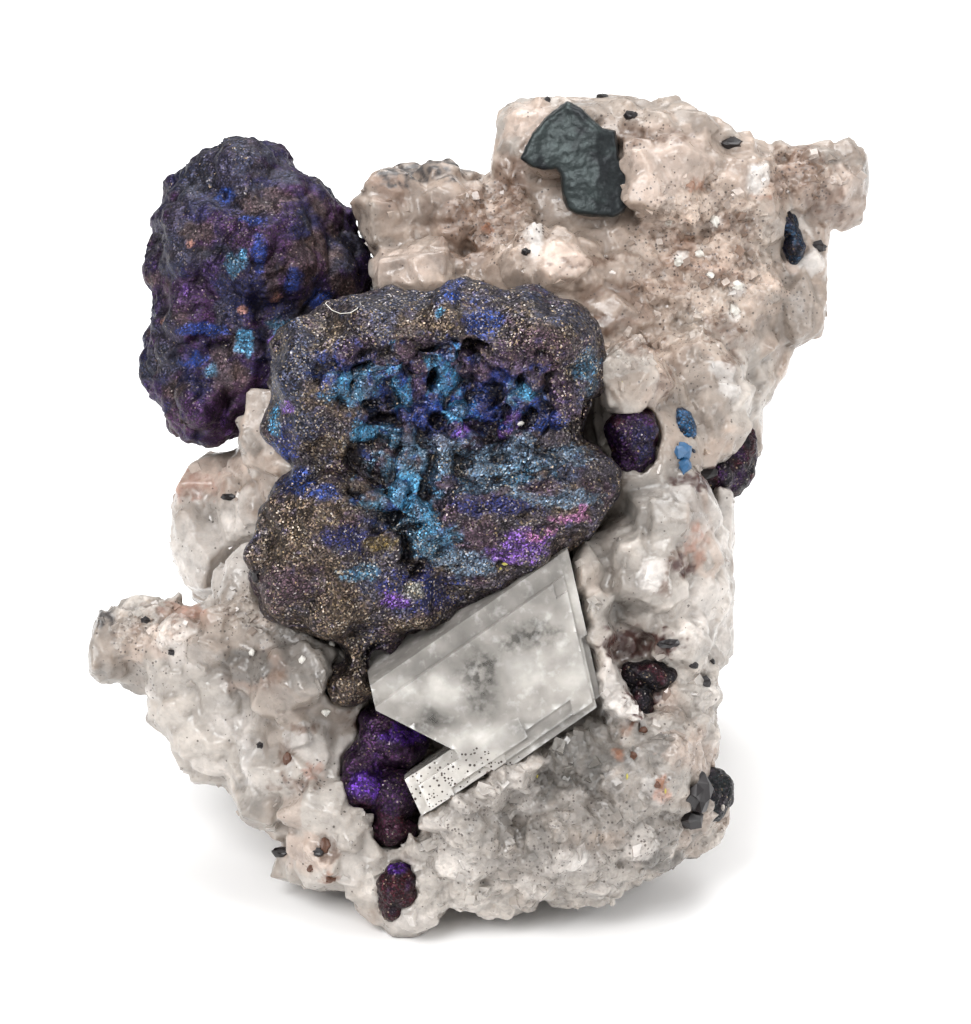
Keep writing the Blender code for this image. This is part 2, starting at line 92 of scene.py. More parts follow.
# %% [markdown]
# ## Reading and writing a skin
#
# A natural skin has thousands of small grains. They could be sculpted by hand, or raised by
# displacement modifiers, but each piece here needs several kinds of relief at once. A mesh
# is a list of places, and numpy can move all of them together. These helpers read a mesh's
# vertices and the directions they face, write them back, and paint numbers or colours on
# them as attributes, which the materials read later.

# %% Skins
WELD = 0.000001


def put(name, mesh):
    """Links a mesh to the scene as a piece of that name."""
    piece = bpy.data.objects.new(name, mesh)
    bpy.context.scene.collection.objects.link(piece)
    return piece


def shape_of(*meshes):
    """A bmesh of those meshes, which can be edited."""
    shape = bmesh.new()
    for mesh in meshes:
        shape.from_mesh(mesh)
    return shape


def solid_of(node):
    """A node's solid, with its points welded, which can be edited."""
    shape = shape_of(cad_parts[node].data)
    bmesh.ops.remove_doubles(shape, verts=shape.verts, dist=WELD)
    return shape


def finished(shape, name):
    """The mesh that a bmesh has become."""
    mesh = bpy.data.meshes.new(name)
    shape.to_mesh(mesh)
    shape.free()
    return mesh


def add_voxels(piece, size):
    """Adds a remesh with even faces, of that many millimetres."""
    even = piece.modifiers.new("even", "REMESH")
    even.mode = "VOXEL"
    even.voxel_size = size * MM


def settle(piece):
    """Replaces the mesh by what its modifiers make of it."""
    bpy.context.view_layer.update()
    graph = bpy.context.evaluated_depsgraph_get()
    done = bpy.data.meshes.new_from_object(piece.evaluated_get(graph))
    piece.modifiers.clear()
    piece.data = done
    return piece


def read(mesh):
    """Where the vertices are, in millimetres, and which way they face."""
    places = np.empty(len(mesh.vertices) * 3, np.float32)
    mesh.vertices.foreach_get("co", places)
    outward = np.empty(len(mesh.vertices) * 3, np.float32)
    mesh.vertex_normals.foreach_get("vector", outward)
    return places.reshape(-1, 3) / MM, outward.reshape(-1, 3)


def write(mesh, places):
    mesh.vertices.foreach_set("co", (places * MM).astype(np.float32).ravel())
    mesh.update()


def paint(mesh, name, values):
    """Stores a number or a colour for each vertex."""
    if values.ndim == 1:
        layer = mesh.attributes.new(name, "FLOAT", "POINT")
        layer.data.foreach_set("value", values.astype(np.float32))
        return
    layer = mesh.attributes.new(name, "FLOAT_COLOR", "POINT")
    full = np.ones((len(values), 4), np.float32)
    full[:, :3] = values
    layer.data.foreach_set("color", full.ravel())


def fine_skin(name, node, voxel, rounds):
    """An even skin of small faces over a solid, with the solid's own facets softened."""
    piece = put(name, finished(solid_of(node), name))
    add_voxels(piece, voxel)
    soften = piece.modifiers.new("soften", "SMOOTH")
    soften.factor = 0.5
    soften.iterations = rounds
    return settle(piece)


def shade_smooth(piece):
    piece.data.shade_smooth()
    return piece


# %% [markdown]
# ## Noise, patches and packed grains
#
# Three fields shape and colour a natural skin. Cloudy noise gives humps of any size.
# A patch is an ellipse with a ragged edge, laid where the real specimen has one. Packed
# grains come from a tree of scattered points: how near a place is to its closest point
# says whether it is on top of a grain or down in the seam between two. Blender's textures
# could give all three, but here the same numbers have to move the skin and colour it.

# %% Fields
NEIGHBOURS = 5
GRAIN_EDGE = 0.42
SEED_SHIFT = 7.31
OCTAVE_SHIFT = 3.7
LOT_TURN = (12.71, 31.17, 7.47)
LOT_GAIN = 437.5
SIDE_FADE = 0.4


def fade(values, low, high):
    """A smooth step from 0 at low to 1 at high."""
    part = np.clip((values - low) / (high - low), 0.0, 1.0)
    return part * part * (3.0 - 2.0 * part)


def cloud(places, size, octaves=1, seed=0.0):
    """Noise from about -1 to 1, whose humps are that many millimetres wide."""
    total = np.zeros(len(places))
    for octave in range(octaves):
        scaled = places * (2.0**octave / size) + (seed * SEED_SHIFT + octave * OCTAVE_SHIFT)
        heights = [noise.noise(place) for place in scaled.tolist()]
        total += np.array(heights) * 0.5**octave
    return total


def patch(across, up, spots, ragged, soft=0.25):
    """How far inside the nearest ellipse each place is, from 0 to 1."""
    inside = np.zeros(len(across))
    for x, y, wide, high in spots:
        reach = np.hypot((across - x) / wide, (up - y) / high) + ragged
        inside = np.maximum(inside, 1.0 - fade(reach, 1.0 - soft, 1.0 + soft))
    return inside


def tree_of(places):
    tree = kdtree.KDTree(len(places))
    for number, place in enumerate(places.tolist()):
        tree.insert(place, number)
    tree.balance()
    return tree


def scatter(places, spacing, dice):
    """Some of the skin's own vertices: one from each cell of a grid with that spacing."""
    order = dice.permutation(len(places))
    cells = np.floor(places[order] / spacing).astype(np.int64)
    return order[np.unique(cells, axis=0, return_index=True)[1]]


def ball(reach):
    """The height of a round grain, by how far a place is from its middle."""
    return np.sqrt(np.clip(GRAIN_EDGE - reach**2, 0.0, None))


def packed(places, spacing, vary, lean, seed):
    """Grains that have grown together: the skin's height, and the middle of each one's grain."""
    dice = np.random.default_rng(seed)
    roots = places[scatter(places, spacing, dice)]
    tree = tree_of(roots)
    hits = [tree.find_n(place, NEIGHBOURS) for place in places.tolist()]
    nearest = np.array([[hit[1] for hit in near] for near in hits])
    reach = np.array([[hit[2] for hit in near] for near in hits]) / spacing
    offset = (places[:, None, :] - roots[nearest]) / spacing
    tips = dice.uniform(-vary, vary, len(roots))
    slopes = dice.normal(0.0, lean, roots.shape)
    heights = tips[nearest] + ball(reach) + (offset * slopes[nearest]).sum(axis=2)
    rows = np.arange(len(places))
    winner = heights.argmax(axis=1)
    return heights[rows, winner] * spacing, roots[nearest[rows, winner]]


def lot(middles):
    """A number from 0 to 1 for each grain, by where its middle is."""
    return np.abs(np.sin(middles @ LOT_TURN) * LOT_GAIN) % 1.0


def spread(mesh, values, rounds):
    """Three numbers for each vertex, averaged that many times with its neighbours'."""
    ends = np.empty(len(mesh.edges) * 2, np.int32)
    mesh.edges.foreach_get("vertices", ends)
    first, second = ends.reshape(-1, 2).T
    size = len(values)
    count = np.bincount(first, minlength=size) + np.bincount(second, minlength=size)
    smooth = values.copy()
    for _ in range(rounds):
        for axis in range(3):
            total = np.bincount(first, smooth[second, axis], size)
            total += np.bincount(second, smooth[first, axis], size)
            smooth[:, axis] = total / count
    return smooth


def dips(mesh, places, outward, rounds):
    """How far each vertex lies below the average of its surroundings."""
    return ((spread(mesh, places, rounds) - places) * outward).sum(axis=1)


def calm(mesh, outward, rounds):
    """The directions that the skin faces, without its small facets."""
    smooth = spread(mesh, outward, rounds)
    return smooth / np.linalg.norm(smooth, axis=1)[:, None]


def sides_of(outward, toward, amount):
    """How much of the skin faces a direction, from 0 to 1."""
    return fade(outward @ toward, amount, amount + SIDE_FADE)


def srgb(red, green, blue):
    """A colour from its screen values, 0 to 255, to the linear values that light needs."""
    screen = np.array([red, green, blue]) / 255.0
    return np.where(screen <= 0.04045, screen / 12.92, ((screen + 0.055) / 1.055) ** 2.4)


def over(colours, colour, mask):
    """Lays a colour over others, as thickly as the mask says."""
    return colours + (np.asarray(colour) - colours) * mask[:, None]


def tree_of_skins(*meshes):
    """A tree that rays can be cast at."""
    shape = shape_of(*meshes)
    tree = BVHTree.FromBMesh(shape)
    shape.free()
    return tree


def on_skin(tree, across, up):
    """The place on the skin that the eye sees there, or else the nearest, and its direction."""
    middle = seen(across, up, 0.0)
    hit, facing = tree.ray_cast(Vector(EYE * MM), Vector(middle - EYE).normalized())[:2]
    if hit is None:
        hit, facing = tree.find_nearest(Vector(middle * MM))[:2]
    return np.array(hit) / MM, np.array(facing)


print("fields are ready")

# %% [markdown]
# ## A node tree that reads like arithmetic
#
# Nodes could be wired by hand in the editor, or one by one in a script, but either hides
# what a material does. A small class wraps a socket, so that a sum or a product of sockets
# adds the Math nodes by itself. Every other node comes from one method, which takes its
# type, its settings and its sockets.

# %% Shader arithmetic
def operator(operation, reflected=False):
    """A method that adds a Math node, with its two values the other way round if reflected."""
    if reflected:
        return lambda self, other: self.reckon(operation, other, self)
    return lambda self, other: self.reckon(operation, self, other)


class Wire:
    """A node's output, which Python's operators can reckon with."""

    __add__, __radd__ = operator("ADD"), operator("ADD", True)
    __sub__, __rsub__ = operator("SUBTRACT"), operator("SUBTRACT", True)
    __mul__, __rmul__ = operator("MULTIPLY"), operator("MULTIPLY", True)
    __pow__ = operator("POWER")
    below = operator("LESS_THAN")

    def __init__(self, recipe, socket):
        self.recipe = recipe
        self.socket = socket

    def reckon(self, operation, *values):
        return self.recipe.add("ShaderNodeMath", {"operation": operation}, values)


class Recipe:
    """A material that is built node by node."""

    def __init__(self, name):
        self.material = bpy.data.materials.new(name)
        self.material.use_nodes = True
        self.tree = self.material.node_tree
        self.tree.nodes.clear()

    def add(self, kind, settings=None, sockets=(), output=0):
        """Adds a node: its settings come first, then the values or wires of its sockets."""
        node = self.tree.nodes.new(kind)
        for setting, value in (settings or {}).items():
            if setting == "stops":
                self.set_stops(node, value)
            else:
                setattr(node, setting, value)
        pairs = sockets.items() if isinstance(sockets, dict) else enumerate(sockets)
        for key, value in pairs:
            if isinstance(value, Wire):
                self.tree.links.new(value.socket, node.inputs[key])
            else:
                node.inputs[key].default_value = value
        return Wire(self, node.outputs[output])

    def set_stops(self, node, stops):
        """Sets a ramp's stops, given as (place, brightness)."""
        ramp = node.color_ramp
        for number, (place, bright) in enumerate(stops):
            stop = ramp.elements[number] if number < 2 else ramp.elements.new(place)
            stop.position = place
            stop.color = (bright, bright, bright, 1.0)

    def places(self):
        return self.add("ShaderNodeTexCoord", output="Object")

    def painted(self, name, output="Color"):
        return self.add("ShaderNodeAttribute", {"attribute_name": name}, output=output)

    def noise(self, size, detail=2.0, output="Fac"):
        """Cloudy noise with humps of that many millimetres."""
        sockets = {"Vector": self.places(), "Scale": 1.0 / (size * MM), "Detail": detail}
        return self.add("ShaderNodeTexNoise", {}, sockets, output)

    def cells(self, size, output="Distance"):
        """Cells of that many millimetres, each with a colour of its own."""
        sockets = {"Vector": self.places(), "Scale": 1.0 / (size * MM)}
        return self.add("ShaderNodeTexVoronoi", {}, sockets, output)

    def ramp(self, value, *stops):
        sockets = {"Fac": value}
        return self.add("ShaderNodeValToRGB", {"stops": stops}, sockets)

    def mix(self, factor, first, second, blend="MIX"):
        """Mixes two colours, each a wire or three linear values."""
        ends = [end if isinstance(end, Wire) else (*end, 1.0) for end in (first, second)]
        settings = {"data_type": "RGBA", "blend_type": blend}
        return self.add("ShaderNodeMix", settings, {0: factor, 6: ends[0], 7: ends[1]}, 2)

    def split(self, colour, channel):
        return self.add("ShaderNodeSeparateColor", {}, {"Color": colour}, channel)

    def vector(self, operation, *values):
        return self.add("ShaderNodeVectorMath", {"operation": operation}, values)

    def leaning(self, cells, amount):
        """A vector that points its own way in each cell."""
        centred = self.vector("SUBTRACT", cells, (0.5, 0.5, 0.5))
        return self.vector("MULTIPLY", centred, (amount, amount, amount))

    def tilted(self, lean):
        """The direction that the skin faces, turned by a vector."""
        normal = self.add("ShaderNodeNewGeometry", output="Normal")
        return self.vector("NORMALIZE", self.vector("ADD", normal, lean))

    def bump(self, height, depth, normal=None):
        """Tilts the skin as if the height stood out by that many millimetres."""
        sockets = {"Height": height, "Distance": depth * MM}
        if normal:
            sockets["Normal"] = normal
        return self.add("ShaderNodeBump", {}, sockets)

    def surface(self, **sockets):
        named = {key.replace("_", " "): value for key, value in sockets.items()}
        return self.add("ShaderNodeBsdfPrincipled", {}, named)

    def finish(self, surface):
        output = self.tree.nodes.new("ShaderNodeOutputMaterial")
        self.tree.links.new(surface.socket, output.inputs["Surface"])
        return self.material


print("shader arithmetic is ready")

# %% [markdown]
# ## The finish of tarnished bornite
#
# Bornite is a metal to look at, but its skin here is a felt of grains a tenth of a
# millimetre wide. Each grain is a tiny mirror that points its own way, so the mass glitters
# instead of shining. As real faces they would be millions, so cells of a Voronoi texture
# stand for them: each one's random colour tilts the normal, makes the grain darker or
# lighter, with the lightest as painted glints, turns some of them dusty, and paints gold and
# silver glints on others. The broad colours, and the shade painted into the hollows, come
# from the painted attribute, because they follow the hollows.

# %% Bornite
GRAIN = 0.095
GLINT_GOLD = srgb(206, 176, 118)
GLINT_SILVER = srgb(212, 208, 204)
DUSTY = srgb(58, 50, 56)

SPARKLE_POWER = 3.0
# How light the darkest grain is, and what bare ground and the painted glints of the lightest grains
# add.
DARKEST = 0.22
BARE_LIGHT = 0.44
FELT_PAINTED_GLINT = 1.75
BARE_PAINTED_GLINT = 1.0
# The share of dusty grains, on bare ground and more on felt, and how much the dust covers.
DUST_LEAST = 0.12
DUST_ON_FELT = 0.30
DUST_COVER = 0.7
# The size of the clouds of painted gold and silver glints, where they start, and how much the glints
# cover.
GLINT_CLOUD = 1.3
GLINT_START = 0.24
GLINT_DULL = 0.05
GLINT_BRIGHT = 0.55


def bornite_finish(name, tilt, gold, roughness):
    recipe = Recipe(name)
    tarnish = recipe.painted("tarnish")
    felt = recipe.painted("felt", "Fac")
    bare = 1.0 - felt
    dice = recipe.cells(GRAIN, "Color")
    lightness, chance, silver = [recipe.split(dice, channel) for channel in range(3)]
    lively = lightness**SPARKLE_POWER
    dusty = silver.below(DUST_LEAST + DUST_ON_FELT * felt)
    colour = recipe.mix(dusty * DUST_COVER, tarnish, DUSTY)
    # The lightest grains stand for painted glints.
    painted_glints = FELT_PAINTED_GLINT * (lively * felt) + BARE_PAINTED_GLINT * (lively * bare)
    colour = recipe.mix(1.0, colour, DARKEST + BARE_LIGHT * bare + painted_glints, "MULTIPLY")
    clouds = recipe.noise(GLINT_CLOUD)
    # Painted glints: some grains in the clouds are painted gold or silver, brightest on the lightest
    # grains.
    gold_glint = chance.below((clouds - GLINT_START) * gold)
    metal = recipe.mix(silver, GLINT_GOLD, GLINT_SILVER)
    colour = recipe.mix(gold_glint * felt * (GLINT_DULL + GLINT_BRIGHT * lively), colour, metal)
    tilted = recipe.tilted(recipe.leaning(dice, tilt))
    rough = recipe.bump(recipe.noise(0.3, 3.0), 0.05, tilted)
    shader = recipe.surface(Base_Color=colour, Metallic=0.75, Roughness=roughness, Normal=rough)
    return recipe.finish(shader)


bornite = bornite_finish("tarnished bornite", 0.56, 0.75, 0.42)
purple_bornite = bornite_finish("purple bornite", 0.35, 0.22, 0.45)
print("bornite finishes:", bornite.name, "and", purple_bornite.name)

# %% [markdown]
# ## The front mass
#
# The large mass has a rounded, grainy rim and a crumbled middle, where the crust has broken
# away and the bright blue grains below are open. The solid gives the bulk. A bump could
# shade the grains, but the hollows between them are deep enough to hide one another, so a
# skin with a face every seventh of a millimetre makes them real shapes: the middle is pushed
# in, packed grains are raised in it, holes are sunk, and thin layers furrow the lower right.

# %% Where the front mass is broken
CRUMBLED = [(-2.1, 7.0, 6.6, 3.2), (-5.4, 2.2, 2.6, 3.2), (-7.4, 8.6, 2.2, 1.8)]
HOLES = [
    (-7.1, 8.6, 0.5, 0.35), (-6.5, 6.3, 0.5, 0.4), (-6.0, 5.8, 0.4, 0.3),
    (-2.8, 5.5, 0.4, 0.4), (-3.1, 8.0, 0.25, 0.5), (0.4, 6.8, 0.3, 0.7),
    (0.9, 5.9, 0.6, 0.35), (-0.6, 10.0, 0.6, 0.3), (-4.5, -0.9, 0.8, 0.3),
    (-4.7, -2.6, 0.35, 1.0), (-4.1, -3.5, 0.5, 0.4), (2.0, 7.6, 0.25, 0.5),
    (5.5, 4.9, 0.25, 0.6), (-1.5, 9.0, 0.3, 0.4), (2.6, 5.6, 0.3, 0.3),
]
FURROWED = [(2.7, 2.0, 4.8, 2.9), (5.0, 0.2, 2.6, 2.2), (-1.5, -2.8, 3.4, 1.8)]
NECK = [(-6.5, -9.4, 0.9, 1.1), (7.2, 5.4, 1.3, 1.5), (-13.7, 9.2, 0.8, 1.6)]
FURROW_RISE = math.radians(14.0)
FURROW_STRETCH = 0.42

# %% Sculpting it
FRONT_VOXEL = 0.145
FRONT_ROUNDS = 24
# Packed grains: their spacing, how much they vary and lean, and the seed of the draw.
HUMPS = (2.4, 0.12, 0.10, 3)
LUMPS = (1.15, 0.26, 0.25, 4)
LAYERS = (0.85, 0.16, 0.25, 5)
PEBBLES = (0.46, 0.15, 0.3, 6)
# The height at which each kind of grain neither rises nor sinks.
HUMP_LEVEL, LUMP_LEVEL, LAYER_LEVEL, PEBBLE_LEVEL = 1.3, 0.6, 0.45, 0.25
BULGE = 0.5
RIM_HUMPS, RIM_LUMPS = 0.30, 0.08
CRUMBLE_RISE, CRUMBLE_SINK = 1.25, 0.55
LAYER_RISE, LAYER_SINK = 1.0, 0.1
PEBBLE_RISE, PEBBLES_CRUMBLED, PEBBLES_FURROWED = 0.10, 0.35, 0.25
HOLE_DEPTH = 0.9
HOLE_SOFTNESS = 0.4
LUMP_GONE = 0.55
NECK_DEPTH = 0.9
FELT_RELIEF = 0.05
# How ragged the edges of the zones, the holes and the neck are.
ZONE_RAGGED, HOLE_RAGGED, NECK_RAGGED = 0.45, 0.8, 0.4


def along_furrows(places):
    """The places squeezed along the furrows, so that round grains become long layers."""
    along = RIGHT * math.cos(FURROW_RISE) + UPWARD * math.sin(FURROW_RISE)
    return places - np.outer(places @ along, along) * (1.0 - FURROW_STRETCH)


def front_zones(places, facing):
    """Where the front mass is crumbled, holed, furrowed and drawn in, from 0 to 1."""
    across, up, _ = as_seen(places)
    ragged = cloud(places, 1.3, 2, 1.0) * ZONE_RAGGED
    crumbled = patch(across, up, CRUMBLED, ragged) * facing
    frayed = cloud(places, 0.5, 3, 2.0) * HOLE_RAGGED
    holes = patch(across, up, HOLES, frayed, HOLE_SOFTNESS) * facing
    furrowed = patch(across, up, FURROWED, ragged) * facing * (1.0 - crumbled)
    return crumbled, holes, furrowed, patch(across, up, NECK, ragged * NECK_RAGGED)


def sculpt_front(mesh):
    """Moves the skin of the front mass, and returns what its colours need."""
    places, outward = read(mesh)
    facing = sides_of(outward, TOWARDS, -0.05)
    crumbled, holes, furrowed, neck = front_zones(places, facing)
    rim = (1.0 - crumbled) * (1.0 - furrowed)
    humps, _ = packed(places, *HUMPS)
    lumps, lump_middles = packed(places, *LUMPS)
    layers, _ = packed(along_furrows(places), *LAYERS)
    pebbles, _ = packed(places, *PEBBLES)
    lump_across, lump_up, _ = as_seen(lump_middles)
    missing = patch(lump_across, lump_up, HOLES, 0.0) * facing
    holes = np.maximum(holes, missing * LUMP_GONE)

    push = cloud(places, 3.4, 3, 5.0) * BULGE
    push += rim * ((humps - HUMP_LEVEL) * RIM_HUMPS + (lumps - LUMP_LEVEL) * RIM_LUMPS)
    push += crumbled * ((lumps - LUMP_LEVEL) * CRUMBLE_RISE - CRUMBLE_SINK)
    push += furrowed * ((layers - LAYER_LEVEL) * LAYER_RISE - LAYER_SINK)
    pebbled = PEBBLE_RISE + PEBBLES_CRUMBLED * crumbled + PEBBLES_FURROWED * furrowed
    push += (pebbles - PEBBLE_LEVEL) * pebbled
    push -= holes * HOLE_DEPTH + neck * NECK_DEPTH
    push += cloud(places, 0.34, 2, 8.0) * FELT_RELIEF
    moved = places + outward * push[:, None]
    write(mesh, moved)
    return {
        "places": places, "outward": outward, "crumbled": crumbled, "holes": holes,
        "furrowed": furrowed, "dip": dips(mesh, moved, outward, 40),
        "lump_middles": lump_middles,
    }


front = shade_smooth(fine_skin("bornite_front_skin", "bornite_mass_front", FRONT_VOXEL, FRONT_ROUNDS))
front_shape = sculpt_front(front.data)
print("front mass:", len(front.data.polygons), "faces")

# %% [markdown]
# ## The tarnish of the front mass
#
# The tarnish is a film a few hundred atoms thick, and its colour depends on how thick it
# is. On the worn rim it is a dull grey brown with gold, on the grains in the middle a
# vivid blue and teal, and in a few places violet and pink. An iridescent shader could
# reckon the film's colours, but not where they lie, so each colour is a list of ragged
# ellipses on the display side. Elsewhere, cloudy noise picks from the same colours.

# %% Painting it
DULL = srgb(78, 72, 80)
DULL_BROWN = srgb(86, 72, 68)
GREY_BLUE = srgb(62, 68, 90)
GOLD_BROWN = srgb(100, 84, 68)
PURPLE_BROWN = srgb(82, 62, 74)
BLUE = srgb(36, 70, 148)
DEEP_BLUE = srgb(38, 46, 104)
CYAN = srgb(88, 158, 200)
TEAL = srgb(76, 122, 150)
GREY_TEAL = srgb(108, 130, 152)
VIOLET = srgb(136, 94, 184)
PINK = srgb(166, 108, 150)
OLIVE = srgb(110, 92, 44)
PALE_GREY = srgb(150, 150, 140)
PAINTED_HOLE_SHADE = srgb(14, 12, 18)

FRONT_PATCHES = [
    (GREY_BLUE, [(-4.5, 12.4, 4.0, 1.2), (-11.4, 7.5, 1.8, 3.0), (4.6, 11.6, 2.2, 1.4)]),
    (GOLD_BROWN, [
        (-2.8, 11.6, 2.4, 0.9), (-9.7, 7.0, 1.3, 1.0), (-8.3, 3.8, 2.4, 0.8),
        (-10.0, 0.7, 3.0, 1.6), (-11.2, -2.4, 2.9, 3.6), (-8.0, -10.2, 1.8, 1.8),
        (-9.0, -5.6, 2.2, 1.8), (-4.2, -6.8, 1.6, 0.7), (3.4, 10.4, 2.0, 1.0),
    ]),
    (BLUE, [
        (-2.1, 7.2, 5.6, 2.6), (-8.4, 8.6, 1.8, 1.6), (-0.3, 11.6, 1.3, 0.9),
        (-11.4, 1.8, 1.3, 0.8), (-9.6, 1.0, 1.0, 0.5), (-2.0, 13.2, 0.7, 0.6),
        (3.8, 6.2, 1.6, 1.4), (-12.2, 3.8, 0.8, 0.7),
    ]),
    (TEAL, [
        (-7.7, 7.3, 1.7, 1.2), (-5.0, 1.3, 2.3, 2.3), (2.4, 6.7, 1.2, 1.0),
        (-0.9, 2.5, 4.6, 1.2), (-7.4, -3.7, 1.1, 0.5), (6.0, 8.1, 0.8, 1.6),
        (-3.2, -1.6, 1.8, 1.2), (-6.2, 4.4, 2.0, 0.7),
    ]),
    (DEEP_BLUE, [
        (-1.2, 5.2, 2.6, 0.7), (0.6, 8.4, 0.9, 0.9), (-4.2, -4.6, 2.2, 1.4),
        (-8.0, -1.6, 2.0, 0.8), (-12.0, 4.4, 0.8, 1.2), (0.4, 0.4, 3.0, 0.6),
    ]),
    (GREY_TEAL, [
        (1.6, 4.0, 2.0, 0.7), (4.2, 3.2, 1.8, 0.8), (-0.1, 2.1, 1.0, 0.9),
        (2.6, 1.0, 1.2, 0.4), (-1.2, -3.2, 1.6, 0.8), (0.6, 3.4, 1.8, 0.5),
        (4.4, 0.8, 2.4, 0.5), (-3.2, 4.1, 2.6, 0.6), (-1.2, 3.0, 3.0, 0.8),
    ]),
    (PURPLE_BROWN, [
        (3.0, 9.4, 2.4, 1.6), (-7.7, 9.7, 1.2, 0.8), (-4.0, 9.0, 1.3, 1.7),
        (-1.1, 8.4, 0.9, 1.3), (5.0, 6.8, 1.4, 1.3), (-2.6, 1.7, 1.2, 0.5),
        (-2.5, -0.2, 0.9, 0.7), (3.3, 1.4, 1.1, 0.5), (-12.0, -4.4, 2.0, 1.2),
    ]),
    (CYAN, [
        (-5.0, 6.7, 0.7, 0.6), (-5.5, 8.9, 0.4, 1.0), (-2.3, 7.9, 0.8, 1.3),
        (-1.7, 6.1, 0.9, 0.5), (-7.3, 4.7, 0.9, 0.6), (-4.3, 1.5, 1.4, 1.2),
        (-3.4, -0.4, 0.6, 0.8), (-5.0, 8.2, 0.7, 0.5), (-12.6, 5.4, 0.35, 1.0),
        (2.3, 7.0, 0.7, 0.5), (-8.3, 7.7, 0.5, 0.5), (-2.7, 11.9, 0.3, 0.3),
    ]),
    (VIOLET, [
        (2.4, -1.9, 1.5, 0.9), (1.3, -2.6, 1.1, 0.5), (-0.3, 4.9, 1.6, 0.4),
        (0.9, 5.3, 0.6, 0.4), (-11.9, 6.2, 0.4, 0.4), (-5.4, -5.2, 1.0, 0.5),
    ]),
    (PINK, [
        (4.9, -0.4, 1.1, 0.25), (5.9, 0.0, 0.3, 0.4), (2.9, -1.5, 0.6, 0.3),
        (0.3, 4.5, 0.5, 0.35), (3.8, -1.1, 0.4, 0.3),
    ]),
    (OLIVE, [(-6.3, -1.9, 1.1, 0.5)]),
    (PALE_GREY, [(-4.4, -4.7, 0.7, 0.5)]),
]


CLOUD_COVER = 0.85
WHOLE_LUMPS = 0.75
STRAY_BLUE = 0.7
WORN_PURPLE = 0.45
# How thickly shade is painted into the holes and the sunk places.
HOLE_SHADE_COVER = 0.5
SUNK_SHADE_COVER = 0.92
LESS_FELT_CRUMBLED = 0.55
LESS_FELT_FURROWED = 0.25


def mottled(places, base, others, size, seed):
    """A base colour with clouds of other colours in it."""
    colours = np.tile(base, (len(places), 1))
    for number, colour in enumerate(others):
        field = cloud(places, size, 3, seed + number)
        colours = over(colours, colour, fade(field, 0.05, 0.45) * CLOUD_COVER)
    return colours


def tarnish(across, up, colours, patches, ragged, facing, strength=0.85, soft=0.25):
    """Lays each colour over its own ellipses."""
    for colour, spots in patches:
        mask = patch(across, up, spots, ragged, soft) * facing * strength
        colours = over(colours, colour, mask)
    return colours


def paint_front(mesh, shape):
    places, crumbled, dip = shape["places"], shape["crumbled"], shape["dip"]
    facing = sides_of(shape["outward"], TOWARDS, -0.1)
    ragged = cloud(places, 0.8, 3, 20.0) * 0.5 + cloud(places, 0.3, 2, 24.0) * 0.4
    rim = [DULL_BROWN, GREY_BLUE, GOLD_BROWN, DULL, PURPLE_BROWN]
    colours = mottled(places, DULL, rim, 2.6, 30.0)
    whole = crumbled[:, None] * WHOLE_LUMPS
    across, up, _ = as_seen(places * (1.0 - whole) + shape["lump_middles"] * whole)
    colours = tarnish(across, up, colours, FRONT_PATCHES, ragged, facing)
    stray = fade(cloud(places, 0.7, 2, 40.0), 0.30, 0.6) * STRAY_BLUE
    colours = over(colours, BLUE, stray * (0.3 + 0.7 * crumbled))
    proud = fade(-dip, 0.05, 0.25)
    colours = over(colours, PURPLE_BROWN, proud * crumbled * WORN_PURPLE)
    # Painted shade: the holes and the places sunk between the grains are darkened, where shade falls.
    sunk = fade(dip, 0.02, 0.32)
    colours = over(colours, PAINTED_HOLE_SHADE, np.maximum(shape["holes"] * HOLE_SHADE_COVER, sunk * SUNK_SHADE_COVER))
    paint(mesh, "tarnish", colours)
    felt = 1.0 - LESS_FELT_CRUMBLED * crumbled - LESS_FELT_FURROWED * shape["furrowed"]
    paint(mesh, "felt", felt)


paint_front(front.data, front_shape)
front.data.materials.append(bornite)
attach(front, "root")
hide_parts("bornite_mass_front")
print("front mass painted in", len(FRONT_PATCHES), "colours")

# %% [markdown]
# ## The rear mass
#
# The mass at the upper left is smoother, and its tarnish is thicker, so it is purple and
# navy with worn bronze humps. It could take the front mass's functions, but it has no
# crumbled middle, so a simpler one raises humps and small grains over it and roughens them.

# %% The rear mass
REAR_VOXEL = 0.15
REAR_ROUNDS = 16
REAR_HUMPS, REAR_GRAINS, REAR_DEPTH, REAR_SEED = 1.9, 0.8, 0.42, 60
REAR_FELT = 0.45
LUMP_SUNK_SHADE = 0.75
# How far a lump's swellings, humps, grains and felt stand out, by its depth of relief.
SWELLINGS_STAND, HUMPS_STAND, GRAINS_STAND, FELT_STANDS = 1.2, 1.6, 0.7, 0.15
